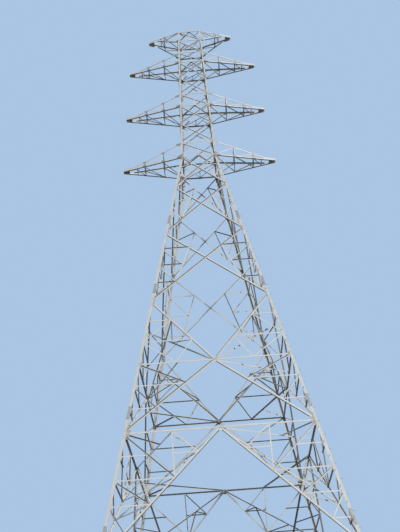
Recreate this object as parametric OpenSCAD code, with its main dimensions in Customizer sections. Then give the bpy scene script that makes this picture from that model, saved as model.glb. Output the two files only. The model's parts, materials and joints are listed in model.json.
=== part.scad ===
// Double-circuit lattice transmission pylon, modelled at half its real size.
// The origin is on the ground in the middle of the four feet, X runs along the
// crossarms, the line of the conductors runs along Y, and Z is up.

/* [Body widths] */
// Width of one face at the ground, over the legs
base_w = 7490; // [6700:10:8300]
// Width of one face at the waist, where the lowest crossarms sit
waist_w = 1285; // [1200:10:1420]
// Width of one face at the very top
top_w = 975; // [940:5:1100]

/* [Lower body panel heights] */
// Height of the bottom panel, from the ground to the lower ties
foot_panel_h = 4800; // [4200:50:5400]
// Height of the panel with the wide inverted V
v_panel_h = 3210; // [2900:10:3500]
// Height from the main ties up to the middle ties
k_panel_low_h = 2125; // [1900:5:2300]
// Height from the middle ties up to the first crossed panel
k_panel_high_h = 2290; // [2000:5:2500]
// Height of the lowest crossed panel
x_panel_3_h = 2955; // [2700:5:3200]
// Height of the middle crossed panel
x_panel_2_h = 2365; // [2100:5:2600]
// Height of the crossed panel under the waist
x_panel_1_h = 1755; // [1600:5:1900]

/* [Upper body heights] */
// Height of the lower crossarms at the body
lower_arm_h = 760; // [650:5:850]
// Height of the middle crossarms at the body
middle_arm_h = 715; // [600:5:800]
// Height of the upper crossarms at the body
upper_arm_h = 640; // [550:5:720]
// Height of the earth wire arms at the body
peak_arm_h = 660; // [560:5:740]
// Rise from the lower to the middle crossarms
middle_arm_rise = 2860; // [2600:10:3100]
// Rise from the middle to the upper crossarms
upper_arm_rise = 2785; // [2500:5:3000]
// Rise from the upper crossarms to the foot of the earth wire arms
peak_rise = 1480; // [1300:10:1600]

/* [Crossarms] */
// Reach of the lower crossarms from the middle of the body
lower_reach = 2875; // [2600:5:3100]
// Reach of the middle crossarms
middle_reach = 2780; // [2500:5:3000]
// Reach of the upper crossarms
upper_reach = 2655; // [2400:5:2900]
// Reach of the earth wire arms
peak_reach = 1800; // [1600:10:2000]
// Distance of a crossarm's outer posts from its tip
outer_post = 810; // [760:10:880]
// Distance of an earth wire arm's posts from its tip
peak_post = 680; // [640:10:740]
// Distance of the last floor strut from the tip
end_strut = 520; // [470:10:560]
// Width of a crossarm at its tip
tip_w = 130; // [120:5:170]
// Height of the plated box at a crossarm's tip
tip_h = 110; // [100:2:130]
// Length of the plated box
tip_plate_l = 390; // [340:10:430]
// Length of the cover plates over and under the box
cover_l = 230; // [190:10:260]

/* [Angle sections] */
// Flange width of the lower legs
leg_b = 78; // [72:1:90]
// Thickness of the lower legs
leg_t = 8; // [6:0.5:9]
// Flange width of the upper legs
mast_b = 62; // [58:1:72]
// Thickness of the upper legs
mast_t = 6; // [5:0.5:7]
// Flange width of the main braces of the lower body
main_b = 46; // [42:1:52]
// Thickness of the main braces
main_t = 4; // [3:0.5:5]
// Flange width of the lower ties
low_tie_b = 45; // [42:1:52]
// Flange width of the main ties
main_tie_b = 46; // [42:1:52]
// Flange width of the middle ties
middle_tie_b = 40; // [36:1:46]
// Thickness of the ties
tie_t = 5; // [4:0.5:6]
// Flange width of the light braces of the lower body
web_b = 32; // [28:1:36]
// Thickness of the light braces
web_t = 3; // [2.5:0.5:4]
// Flange width of the braces of the upper body
brace_b = 37; // [32:1:42]
// Thickness of the braces and ties of the upper body
brace_t = 4; // [3:0.5:5]
// Flange width of the ties of the upper body
girt_b = 42; // [40:1:48]
// Flange width of the crossarm chords
chord_b = 50; // [45:1:54]
// Thickness of the crossarm chords
chord_t = 4; // [3:0.5:5]
// Flange width of the crossarm braces
lace_b = 29; // [24:1:33]
// Thickness of the crossarm braces
lace_t = 3; // [2.5:0.5:4]
// Flange width of the level bracing inside the body
plan_b = 37; // [32:1:42]
// Thickness of the level bracing
plan_t = 4; // [3:0.5:5]

/* [Feet] */
// Side of a foot's square base plate
plate_w = 300; // [280:5:340]
// Thickness of a base plate
plate_t = 20; // [16:1:30]
// Spacing of a foot's four anchor holes
anchor_spacing = 220; // [200:5:240]
// Radius of an anchor hole
anchor_r = 13; // [10:0.5:15]
// How far the middle of a plate lies inside the leg's outer corner
plate_inset = 30; // [24:1:40]
// Height of the stiffening ribs above the plate
rib_h = 110; // [80:5:140]
// Length of a rib along the plate
rib_l = 74; // [60:1:80]
// Thickness of a rib
rib_t = 8; // [6:1:12]

/* [Attachment plates] */
// Thickness of a plate that takes an insulator string or earth wire
lug_t = 10; // [8:1:14]
// Height of a plate below the arm
lug_h = 62; // [56:2:80]
// Width of a plate
lug_w = 64; // [56:2:80]
// Radius of its shackle hole
lug_hole_r = 11; // [8:0.5:13]

/* [Fits] */
// Clearance left between pieces that are bolted face to face
seat = 0.2; // [0.1:0.05:0.4]
// Room kept between braces that meet from two faces of the body
corner_room = 2; // [2:1:5]
// How far the braces of one face are set behind each other where they cross
lap = 0.6; // [0.4:0.1:0.7]

/* [Hidden] */
LADDERS = ["front", "right", "back", "left"];
CORNERS = ["front_right", "back_right", "back_left", "front_left"];
SIDES = ["right", "left"];

GALVANISED = [0.70, 0.72, 0.72];
GALVANISED_DULL = [0.62, 0.64, 0.65];

// Heights of the lower body's joints above the ground
z_low_tie = foot_panel_h;
z_main_tie = z_low_tie + v_panel_h;
z_middle_tie = z_main_tie + k_panel_low_h;
z_x3 = z_middle_tie + k_panel_high_h;
z_x2 = z_x3 + x_panel_3_h;
z_x1 = z_x2 + x_panel_2_h;
waist_z = z_x1 + x_panel_1_h;

// Heights of the upper body's joints above the waist
h_lower_top = lower_arm_h;
h_middle = middle_arm_rise;
h_middle_top = h_middle + middle_arm_h;
h_upper = h_middle + upper_arm_rise;
h_upper_top = h_upper + upper_arm_h;
h_peak = h_upper + peak_rise;
h_top = h_peak + peak_arm_h;

// How far a face leans in for each unit of height, in the lower and upper body
low_slope = (base_w - waist_w) / 2 / waist_z;
high_slope = (waist_w - top_w) / 2 / h_top;
low_lean = atan(low_slope);
high_lean = atan(high_slope);

v_bays = 5;
foot_bays = 6;
big = 2 * waist_z;
gusset = 1.7 * main_b;

function low_half(z) = base_w / 2 - low_slope * z;
function high_half(h) = waist_w / 2 - high_slope * h;
function between(p, q, share) = p + (q - p) * share;
function flip(p) = [-p.x, p.y];

// How far a bar is set back from the outer plane of its face, by its direction
function set_back(run) = lap * ((atan2(run.y, run.x) + 360) % 180) / 180;

// An angle bar along +X: its plate lies in the XY plane, its other flange goes down
// along the edge that edge = 1 (+Y) or -1 (-Y) names
module angle_bar(length, b, t, edge = 1)
    rotate([90, 0, 90])
        linear_extrude(length)
            polygon([for (p = [[-b / 2, 0], [-b / 2, -t], [b / 2 - t, -t],
                               [b / 2 - t, -b], [b / 2, -b], [b / 2, 0]])
                     [edge * p.x, p.y]]);

// The same bar with its other flange turned up, and cut short by cuts at its two ends,
// where a leg's flange or a joint lies over the plate
module outward_bar(length, b, t, edge, cuts) {
    translate([0, -b / 2, -t])
        cube([length, b, t]);
    translate([cuts[0], edge * (b - t - lap / 4) / 2 - t / 2, -t / 2])
        cube([length - cuts[0] - cuts[1], t, b - t / 2]);
}

// A bar of a face from p to q, each [sideways, up], cut short by trims at both ends
module face_bar(p, q, b, t, lean, edge = 1, trims = [0, 0]) {
    run = [q.x - p.x, (q.y - p.y) / cos(lean)];
    translate([p.x, p.y / cos(lean), -set_back(run)])
        rotate([0, 0, atan2(run.y, run.x)])
            translate([trims[0], 0, 0])
                angle_bar(norm(run) - trims[0] - trims[1], b, t, edge);
}

// A bar like it, with its second flange outwards
module outward_face_bar(p, q, b, t, lean, edge, trims, cuts) {
    run = [q.x - p.x, (q.y - p.y) / cos(lean)];
    translate([p.x, p.y / cos(lean), -set_back(run)])
        rotate([0, 0, atan2(run.y, run.x)])
            translate([trims[0], 0, 0])
                outward_bar(norm(run) - trims[0] - trims[1], b, t, edge, cuts);
}

// How much shorter a bar is at a leg, to stay clear of the bars of the next face
function leg_trim(leg, other, b, t_leg, slope) =
    let (run = other - leg, way = run / norm(run))
    (t_leg + seat + b + corner_room + b / 2 * abs(way.y))
        / (abs(way.x) - slope * way.y);

// How much shorter still an outward flange is, to stay clear of the leg's flange
function flange_cut(leg, other, b, b_leg, t_leg, slope) =
    let (run = other - leg, way = run / norm(run))
    (b_leg * norm([1, slope]) - t_leg - seat - b + 2 * corner_room)
        / (abs(way.x) - slope * way.y);

// How much shorter a bar is under a tie, so that its corner just reaches the tie
function tie_trim(top, other, b, tie_b) =
    let (run = other - top, way = run / norm(run))
    ((tie_b / 2 + seat) / cos(low_lean) + b / 2 * abs(way.x)) / abs(way.y);

// Lays its children on face number k of the lower or upper body, just inside the legs
module on_face(k, half, lean, z, t_leg)
    rotate([0, 0, 90 * k])
        translate([0, -half, z])
            rotate([90 - lean, 0, 0])
                translate([0, 0, -t_leg - seat])
                    children();

module low_face(k) on_face(k, base_w / 2, low_lean, 0, leg_t) children();
module high_face(k) on_face(k, waist_w / 2, high_lean, waist_z, mast_t) children();

// A point on the left leg of a face
function low_leg(z) = [-low_half(z), z];
function high_leg(h) = [-high_half(h), h];

// A bar and its mirror image, from the left leg to a free point
module leg_pair(z, q, b, t, edge = 1)
    for (s = [1, -1]) {
        p = low_leg(z);
        face_bar([s * p.x, p.y], [s * q.x, q.y], b, t, low_lean, s * edge,
                 [leg_trim(p, q, b, leg_t, low_slope), 0]);
    }

// The same with their second flanges outwards, along the upper edge
module outward_pair(z, q)
    for (s = [1, -1]) {
        p = low_leg(z);
        outward_face_bar([s * p.x, p.y], [s * q.x, q.y], web_b, web_t, low_lean, s,
                         [leg_trim(p, q, web_b, leg_t, low_slope), 0],
                         [flange_cut(p, q, web_b, leg_b, leg_t, low_slope), main_b / 2]);
    }

// A bar and its mirror image between two free points
module free_pair(p, q, b, t, edge = 1, trims = [0, 0])
    for (s = [1, -1])
        face_bar([s * p.x, p.y], [s * q.x, q.y], b, t, low_lean, s * edge, trims);

// Two crossing bars from leg to leg. Here, in the K panels and in the upper body the bar
// that rises to the right, seen from outside, has its second flange outwards.
module cross(z_low, z_high) {
    p = low_leg(z_low);
    q = flip(low_leg(z_high));
    trims = [leg_trim(p, q, main_b, leg_t, low_slope),
             leg_trim(q, p, main_b, leg_t, low_slope)];
    outward_face_bar(p, q, main_b, main_t, low_lean, 1, trims,
                     [flange_cut(p, q, main_b, leg_b, leg_t, low_slope),
                      flange_cut(q, p, main_b, leg_b, leg_t, low_slope)]);
    face_bar(flip(p), flip(q), main_b, main_t, low_lean, 1, trims);
}

// Two arms from a joint in the middle of a face to the legs at height z
module arms(z, centre) {
    p = low_leg(z);
    trims = [leg_trim(p, centre, main_b, leg_t, low_slope), 0];
    side = z > centre.y ? -1 : 1;
    outward_face_bar([side * p.x, p.y], centre, main_b, main_t, low_lean, side, trims,
                     [flange_cut(p, centre, main_b, leg_b, leg_t, low_slope), 2 * main_b]);
    face_bar([-side * p.x, p.y], centre, main_b, main_t, low_lean, side, trims);
}

// A tie from leg to leg, with its flange along the upper edge
module tie(z, b) {
    p = low_leg(z);
    trim = leg_trim(p, flip(p), b, leg_t, low_slope);
    face_bar(p, flip(p), b, tie_t, low_lean, 1, [trim, trim]);
}

// The joint plate in a face, a lozenge with flat ends, or its lower half
module joint_plate(z, up)
    translate([0, z / cos(low_lean), -main_t - 0.75])
        linear_extrude(main_t - 0.35)
            polygon([[-gusset, 0], [-gusset / 2, -gusset], [gusset / 2, -gusset],
                     [gusset, 0], [gusset / 2, up], [-gusset / 2, up]]);

// The point at height z on the bar that runs from the left foot of a panel to its right top
function rising(z_low, z_high, z) =
    let (share = (z - z_low) / (z_high - z_low))
    between(low_leg(z_low), flip(low_leg(z_high)), share);

// The point at height z on the bar that runs from the left top of a panel to its right foot
function falling(z_low, z_high, z) =
    let (share = (z_high - z) / (z_high - z_low))
    between(low_leg(z_high), flip(low_leg(z_low)), share);

module x_bracing(k) color(GALVANISED) low_face(k) {
    cross(z_x1, waist_z);
    cross(z_x2, z_x1);
    cross(z_x3, z_x2);
    x_webs(z_x1, waist_z, false);
    x_webs(z_x2, z_x1, false);
    x_webs(z_x3, z_x2, true);
}

// Light braces of a crossed panel: a post between the two main braces on each side,
// and bars from the leg to its ends, or in the tallest panel to its middle as well
module x_webs(z_low, z_high, tall) {
    step = (z_high - z_low) / 4;
    high_node = falling(z_low, z_high, z_high - step);
    low_node = rising(z_low, z_high, z_low + step);
    mid_node = between(low_node, high_node, 0.5);
    free_pair(low_node, high_node, web_b, web_t);
    if (tall) {
        outward_pair(high_node.y, high_node);
        leg_pair(high_node.y, mid_node, web_b, web_t, -1);
        outward_pair(mid_node.y, mid_node);
        leg_pair(mid_node.y, low_node, web_b, web_t, -1);
        outward_pair(low_node.y, low_node);
    } else {
        leg_pair(z_high - 1.5 * step, high_node, web_b, web_t);
        leg_pair(z_high - 1.5 * step, low_node, web_b, web_t, -1);
    }
}

module k_bracing(k) color(GALVANISED) low_face(k) {
    centre = [0, z_middle_tie];
    high_step = (z_x3 - z_middle_tie) / 3;
    low_step = (z_middle_tie - z_main_tie) / 3;
    quarter = [-low_half(z_middle_tie) / 2, z_middle_tie];
    high_node = between(low_leg(z_x3), centre, 1 / 3);
    inner_node = between(low_leg(z_x3), centre, 2 / 3);
    arms(z_x3, centre);
    arms(z_main_tie, centre);
    tie(z_middle_tie, middle_tie_b);
    tie(z_main_tie, main_tie_b);
    joint_plate(z_middle_tie, gusset);
    leg_pair(z_x3 - high_step, high_node, web_b, web_t);
    leg_pair(z_middle_tie + high_step, high_node, web_b, web_t);
    leg_pair(z_middle_tie + high_step, inner_node, web_b, web_t);
    leg_pair(z_middle_tie + high_step, quarter, web_b, web_t);
    free_pair(quarter, inner_node, web_b, web_t);
    for (i = [1, 2]) {
        z = z_middle_tie - i * low_step;
        on_brace = between(centre, low_leg(z_main_tie), i / 3);
        leg_pair(z, on_brace, web_b, web_t);
        outward_pair(z + low_step, on_brace);
    }
}

// An inverted V under a tie with its light braces, down to a joint on each leg
module v_panel(z_high, z_low, bays, tie_b) {
    top = [0, z_high];
    foot = low_leg(z_low);
    step = (z_high - z_low) / bays;
    quarter = [-low_half(z_high) / 2, z_high];
    kick = between(top, foot, 2 / bays);
    upper = between(top, foot, 1 / bays);
    corner = low_leg(z_high);
    drop = tie_b / 2 + seat;
    for (s = [1, -1])
        face_bar([s * foot.x, foot.y], [0, z_high], main_b, main_t, low_lean, -s,
                 [leg_trim(foot, top, main_b, leg_t, low_slope),
                  tie_trim(top, foot, main_b, tie_b)]);
    joint_plate(z_high - drop, 0);
    free_pair(quarter, kick, web_b, web_t, 1, [tie_trim(quarter, kick, web_b, tie_b), 0]);
    free_pair(quarter, upper, web_b, web_t, 1, [tie_trim(quarter, upper, web_b, tie_b), 0]);
    free_pair([between(quarter, kick, (quarter.y - upper.y) / (quarter.y - kick.y)).x,
               upper.y], upper, web_b, web_t);
    brace_mid = between(corner, kick, 0.5);
    outward_pair(z_high - drop, kick);
    leg_pair(brace_mid.y, brace_mid, web_b, web_t);
    for (i = [2 : bays - 1]) {
        on_brace = between(top, foot, i / bays);
        leg_pair(on_brace.y, on_brace, web_b, web_t);
        if (i < bays - 1) {
            next = between(top, foot, (i + 1) / bays);
            outward_pair(on_brace.y, next);
        }
    }
}

module v_bracing(k) color(GALVANISED) low_face(k)
    v_panel(z_main_tie, z_low_tie, v_bays, main_tie_b);

module foot_bracing(k) color(GALVANISED) low_face(k) {
    tie(z_low_tie, low_tie_b);
    v_panel(z_low_tie, plate_t + rib_h, foot_bays, low_tie_b);
}

// A bar between the two legs of an upper face
module high_bar(p, q, b, t, edge = 1)
    face_bar(p, q, b, t, high_lean, edge,
             [leg_trim(p, q, b, mast_t, high_slope), leg_trim(q, p, b, mast_t, high_slope)]);

module girt(h) high_bar(high_leg(h), flip(high_leg(h)), girt_b, brace_t);

module high_cross(h_low, h_high) {
    p = high_leg(h_low);
    q = flip(high_leg(h_high));
    outward_face_bar(p, q, brace_b, brace_t, high_lean, 1,
                     [leg_trim(p, q, brace_b, mast_t, high_slope),
                      leg_trim(q, p, brace_b, mast_t, high_slope)],
                     [flange_cut(p, q, brace_b, mast_b, mast_t, high_slope),
                      flange_cut(q, p, brace_b, mast_b, mast_t, high_slope)]);
    high_bar(flip(p), flip(q), brace_b, brace_t);
}

// One diagonal across an arm's zone and the small post under its middle
module arm_zone(h_low, h_high) {
    high_bar(high_leg(h_high), flip(high_leg(h_low)), brace_b, brace_t, -1);
    face_bar([0, h_low], [0, (h_low + h_high) / 2], lace_b, lace_t, high_lean);
}

module upper_bracing(k) color(GALVANISED) high_face(k) {
    for (h = [girt_b / 2 + corner_room, h_lower_top, h_middle, h_middle_top, h_upper,
              h_upper_top, h_peak, h_top - girt_b / 2 - corner_room])
        girt(h);
    arm_zone(0, h_lower_top);
    arm_zone(h_middle, h_middle_top);
    arm_zone(h_upper, h_upper_top);
    arm_zone(h_peak, h_top);
    for (span = [[h_lower_top, h_middle], [h_middle_top, h_upper]]) {
        mid = (span[0] + span[1]) / 2;
        high_cross(span[0], mid);
        high_cross(mid, span[1]);
    }
    high_cross(h_upper_top, h_peak);
}

// Section of a leg whose flanges lie in two neighbouring faces, heel at the origin
module leg_section(b, t, slope) {
    half_corner = 90 - acos(slope * slope / (1 + slope * slope)) / 2;
    c = cos(half_corner);
    s = sin(half_corner);
    polygon([[0, 0], [-b * c, b * s], [-b * c - t * s, b * s - t * c], [-t / s, 0],
             [-b * c - t * s, -b * s + t * c], [-b * c, -b * s]]);
}

// Leg number k of a tapered body, cut level at both ends
module leg(k, half, slope, z, z_low, z_high, b, t)
    intersection() {
        rotate([0, 0, 90 * k - 45])
            translate([half * sqrt(2), 0, z])
                rotate([0, -atan(slope * sqrt(2)), 0])
                    translate([0, 0, -b])
                        linear_extrude((z_high - z) * sqrt(1 + 2 * slope * slope) + 2 * b)
                            leg_section(b, t, slope);
        translate([-big / 2, -big / 2, z_low])
            cube([big, big, z_high - z_low]);
    }

module lower_leg(k) color(GALVANISED)
    leg(k, base_w / 2, low_slope, 0, plate_t + seat, waist_z, leg_b, leg_t);

module upper_leg(k) color(GALVANISED)
    leg(k, waist_w / 2, high_slope, waist_z, waist_z + seat, waist_z + h_top, mast_b, mast_t);

// A rib from the plate up to the outer face of a leg, in the frame of one face
module rib(along) {
    reach = low_slope * plate_t;
    translate([along + rib_t / 2, 0, 0])
        rotate([90, 0, -90])
            linear_extrude(rib_t)
                polygon([[seat - reach, plate_t - 1], [seat + rib_l, plate_t - 1],
                         [seat + rib_l, plate_t + rib_h / 4],
                         [seat - low_slope * (plate_t + rib_h) + 2 * rib_t, plate_t + rib_h],
                         [seat - low_slope * (plate_t + rib_h), plate_t + rib_h]]);
}

module foot(k) color(GALVANISED_DULL)
    rotate([0, 0, 90 * k]) {
        heel = base_w / 2;
        middle = heel - plate_inset;
        translate([middle, -middle, 0])
            difference() {
                translate([-plate_w / 2, -plate_w / 2, 0])
                    cube([plate_w, plate_w, plate_t]);
                for (x = [-1, 1], y = [-1, 1])
                    translate([x * anchor_spacing / 2, y * anchor_spacing / 2, -1])
                        cylinder(h = plate_t + 2, r = anchor_r, $fn = 48);
            }
        translate([0, -heel, 0])
            rib(heel - leg_b / 2);
        rotate([0, 0, 90])
            translate([0, -heel, 0])
                mirror([1, 0, 0])
                    rib(heel - leg_b / 2);
    }

// A bar of the level bracing between p and q, each [x, y]; its plate is on top
module plan_bar(p, q, z, b, t)
    translate([p.x, p.y, z - set_back(q - p)])
        rotate([0, 0, atan2(q.y - p.y, q.x - p.x)])
            angle_bar(norm(q - p), b, t);

// Level bracing of the upper body: a square set on its corners, with four corner struts
module plan_square(half, z, b, t)
    plan_clip(half, z, b)
        for (k = [0 : 3])
            rotate([0, 0, 90 * k]) {
                plan_bar([0, -half - b / 8], [half + b / 8, 0], z, b, t);
                plan_bar([half + b, -half - b], [half / 2, -half / 2], z, b, t);
            }

// Level bracing of the lower body: four bars, each from a tie's quarter to the middle of
// the next tie, and a strut from each corner to the bar before it
module plan_pinwheel(half, z, b, t)
    plan_clip(half, z, b)
        for (k = [0 : 3])
            rotate([0, 0, 90 * k]) {
                plan_bar([-half / 2 + b, -half - 2 * b], [-half - b, 2 * b], z, b, t);
                plan_bar([-half - b, -half - b], [-2 / 3 * half, -2 / 3 * half], z, b, t);
            }

module plan_clip(half, z, b)
    intersection() {
        union() children();
        translate([-half, -half, z - 2 * b])
            cube([2 * half, 2 * half, 4 * b]);
    }

// The level bracing of the lower body, under the inner edges of the ties
module low_plan(level, tie_b) {
    z = level + (tie_b / 2 - tie_t) * cos(low_lean)
        - (leg_t + seat + tie_b) * sin(low_lean) - seat;
    half = low_half(level) - leg_t - seat - main_b - 2 * corner_room;
    plan_pinwheel(half, z, plan_b, plan_t);
}

// One level of the upper body's bracing, under the inner edges of its ties
module high_plan(h) {
    z = waist_z + h + (girt_b / 2 - brace_t) * cos(high_lean)
        - (mast_t + seat + girt_b) * sin(high_lean) - seat;
    half = high_half(h) - mast_t - seat - brace_b - corner_room;
    plan_square(half, z, lace_b, lace_t);
}

module upper_level_bracing() color(GALVANISED)
    for (h = [girt_b / 2 + corner_room, h_middle, h_upper,
              h_top - girt_b / 2 - corner_room])
        high_plan(h);

// One upright side of a crossarm: u runs along the arm and v up. The body's face is at
// u = face, the posts stand at u = stations and the tip's box starts at u = box.
module arm_side(length, root_h, face, box, stations) {
    top_at = function(u) root_h - chord_b / 2 - (root_h - tip_h) * (u - face) / (box - face);
    low = chord_b / 2;
    face_bar([0, low], [length, low], chord_b, chord_t, 0, -1);
    face_bar([0, top_at(0)], [box, top_at(box)], chord_b, chord_t, 0, 1);
    feet = concat([face], stations);
    for (i = [0 : len(stations) - 1]) {
        u = stations[i];
        face_bar([u, low], [u, top_at(u)], lace_b, lace_t, 0, 1);
        face_bar([feet[i], low], [u, top_at(u)], lace_b, lace_t, 0, 1);
    }
    translate([0, 0, -3.75])
        linear_extrude(2.65)
            polygon([[box - chord_b, low], [length - 2, low], [length - 2, tip_h - 1.5],
                     [box, tip_h - 1.5], [box - chord_b, top_at(box - chord_b)]]);
}

// A crossarm to the right with level bottom chords, bottom corner of the root at z = 0.
// Its posts share the way from the body to the outer one, which is last from the tip.
module crossarm(reach, root_h, root_half, posts, last) {
    start = root_half - 2 * chord_b;
    run = [reach - start, root_half - tip_w / 2];
    length = norm(run);
    yaw = atan2(run.y, run.x);
    along = function(x) (x - start) / cos(yaw);
    half_at = function(x) root_half - (x - start) * tan(yaw);
    stations = [for (i = [1 : posts])
                root_half + (reach - last - root_half) * i / posts];
    box = reach - tip_plate_l;
    for (s = [0, 1])
        mirror([0, s, 0])
            translate([start, -root_half, 0])
                rotate([0, 0, yaw])
                    rotate([90, 0, 0])
                        arm_side(length, root_h, along(root_half), along(box),
                                 [for (x = stations) along(x)]);
    for (x = stations) {
        z_top = root_h - (root_h - tip_h) * (x - root_half) / (box - root_half);
        arm_strut(x, half_at(x), 0.75 * chord_t + lace_b);
        arm_strut(x, half_at(x), z_top - chord_t);
    }
    floor_ends = concat([root_half - lace_b], stations, [reach - end_strut]);
    for (i = [0 : posts])
        arm_floor([floor_ends[i], chord_b / 2 - half_at(floor_ends[i])],
                  [floor_ends[i + 1], half_at(floor_ends[i + 1]) - chord_b / 2]);
    arm_strut(reach - end_strut, half_at(reach - end_strut), 0.75 * chord_t + lace_b);
    for (z = [0.45, tip_h - 3.6])
        translate([0, 0, z])
            linear_extrude(3.15)
                polygon([for (p = [[cover_l, -1], [2, -1], [2, 1], [cover_l, 1]])
                         [reach - p.x, p.y * (half_at(reach - p.x) - 2)]]);
}

// A strut across a crossarm from chord to chord, its top at z
module arm_strut(x, y, z)
    translate([x - lace_b / 2, -y + chord_b / 3, z])
        rotate([0, 0, 90])
            angle_bar(2 * y - 2 * chord_b / 3, lace_b, lace_t);

// A bar of a crossarm's floor between p and q
module arm_floor(p, q, b = lace_b)
    translate([p.x, p.y, 0.75 * chord_t + set_back(q - p)])
        rotate([0, 0, atan2(q.y - p.y, q.x - p.x)])
            mirror([0, 0, 1])
                mirror([0, 1, 0])
                    angle_bar(norm(q - p), b, lace_t);

// The space outside the right face of the upper body
module outside_body()
    translate([waist_w / 2 + seat, -big / 2, waist_z])
        rotate([0, -high_lean, 0])
            translate([0, 0, -big / 2])
                cube([big, big, big]);

module set_arm(side)
    rotate([0, 0, side == "right" ? 0 : 180])
        intersection() {
            children();
            outside_body();
        }

module conductor_arm(side, h, reach, root_h) color(GALVANISED)
    set_arm(side)
        translate([0, 0, waist_z + h])
            crossarm(reach, root_h, high_half(h + root_h) - corner_room, 2, outer_post);

module earth_wire_arm(side) color(GALVANISED)
    set_arm(side)
        translate([0, 0, waist_z + h_top])
            mirror([0, 0, 1])
                crossarm(peak_reach, peak_arm_h, high_half(h_top) - corner_room, 1, peak_post);

// A shackle plate under an arm's tip, with its hole along X
module lug()
    translate([-lug_t / 2, 0, 0])
        rotate([90, 0, 90])
            linear_extrude(lug_t)
                difference() {
                    union() {
                        translate([-lug_w / 2, -lug_h / 2])
                            square([lug_w, lug_h / 2 - seat]);
                        translate([0, -lug_h / 2])
                            circle(r = lug_w / 2, $fn = 64);
                    }
                    translate([0, -lug_h / 2])
                        circle(r = lug_hole_r, $fn = 48);
                }

// The shackle plates under the tips of the two arms of one reach and height
module lugs(reach, z)
    for (x = [-1, 1])
        translate([x * (reach - chord_b), 0, z])
            lug();

module attachment_plates() color(GALVANISED_DULL) {
    lugs(lower_reach, waist_z);
    lugs(middle_reach, waist_z + h_middle);
    lugs(upper_reach, waist_z + h_upper);
    lugs(peak_reach, waist_z + h_top - tip_h);
}

for (k = [0 : 3]) {
    foot(k);
    lower_leg(k);
    upper_leg(k);
    foot_bracing(k);
    v_bracing(k);
    k_bracing(k);
    x_bracing(k);
    upper_bracing(k);
}
color(GALVANISED)  // foot_level_bracing
    low_plan(z_low_tie, low_tie_b);
color(GALVANISED)  // main_level_bracing
    low_plan(z_main_tie, main_tie_b);
color(GALVANISED) low_plan(z_middle_tie, middle_tie_b);  // middle_level_bracing
upper_level_bracing();
for (side = SIDES) {
    conductor_arm(side, 0, lower_reach, lower_arm_h);
    conductor_arm(side, h_middle, middle_reach, middle_arm_h);
    conductor_arm(side, h_upper, upper_reach, upper_arm_h);
    earth_wire_arm(side);
}
attachment_plates();
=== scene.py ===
"""Dresses the half-size lattice transmission pylon.

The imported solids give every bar, plate and foot. This script gives them their galvanised
finishes and adds what is too fine for the solids: bolts and nuts, joint plates, leg splices,
step bolts, anchor bolts, shackles, welds and the bracing inside the wide panels. Lengths are
in metres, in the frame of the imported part: Z up, X along the crossarms, Y along the conductors.
"""

import json
import logging
import math
from dataclasses import dataclass, field
from enum import Enum
from typing import Iterable, Sequence

import bpy
import numpy as np
from mathutils import Matrix, Vector

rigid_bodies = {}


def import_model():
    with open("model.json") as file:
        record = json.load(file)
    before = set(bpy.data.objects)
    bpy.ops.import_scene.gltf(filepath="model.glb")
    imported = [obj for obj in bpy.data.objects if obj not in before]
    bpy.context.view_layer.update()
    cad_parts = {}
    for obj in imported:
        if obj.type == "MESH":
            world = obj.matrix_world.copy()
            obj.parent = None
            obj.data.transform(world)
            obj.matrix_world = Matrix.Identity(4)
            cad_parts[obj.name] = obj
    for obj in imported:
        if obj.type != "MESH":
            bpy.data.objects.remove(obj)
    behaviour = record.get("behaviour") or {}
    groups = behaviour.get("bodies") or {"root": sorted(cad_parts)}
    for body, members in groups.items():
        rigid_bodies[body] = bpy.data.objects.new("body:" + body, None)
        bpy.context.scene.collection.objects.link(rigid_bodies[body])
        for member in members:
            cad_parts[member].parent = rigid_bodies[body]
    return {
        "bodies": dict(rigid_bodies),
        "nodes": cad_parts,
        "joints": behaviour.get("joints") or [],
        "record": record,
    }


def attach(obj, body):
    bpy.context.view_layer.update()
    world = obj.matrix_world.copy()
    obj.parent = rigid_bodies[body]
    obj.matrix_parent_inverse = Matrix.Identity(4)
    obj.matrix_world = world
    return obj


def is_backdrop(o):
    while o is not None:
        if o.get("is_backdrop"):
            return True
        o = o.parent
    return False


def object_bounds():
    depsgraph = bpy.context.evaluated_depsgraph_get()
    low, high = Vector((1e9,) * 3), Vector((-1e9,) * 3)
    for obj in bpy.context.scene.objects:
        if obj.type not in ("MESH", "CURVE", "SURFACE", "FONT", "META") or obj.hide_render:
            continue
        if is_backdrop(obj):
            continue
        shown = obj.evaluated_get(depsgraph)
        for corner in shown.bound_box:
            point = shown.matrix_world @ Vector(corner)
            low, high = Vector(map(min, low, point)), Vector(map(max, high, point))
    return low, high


LOG = logging.getLogger("pylon")
BODY = "root"

Point = tuple[float, float]
Span = tuple[float, float]
Colour = tuple[float, float, float]


class Slot(Enum):
    """The record's material slots."""

    LEGS = "legs"
    BRACING = "bracing"
    CROSSARMS = "crossarms"
    FEET = "feet"
    FITTINGS = "fittings"


class End(Enum):
    """What the end of a brace is bolted to."""

    LEG = "leg"
    BRACE = "brace"
    TIE = "tie"


# Sizes and the planes of the lattice


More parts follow.
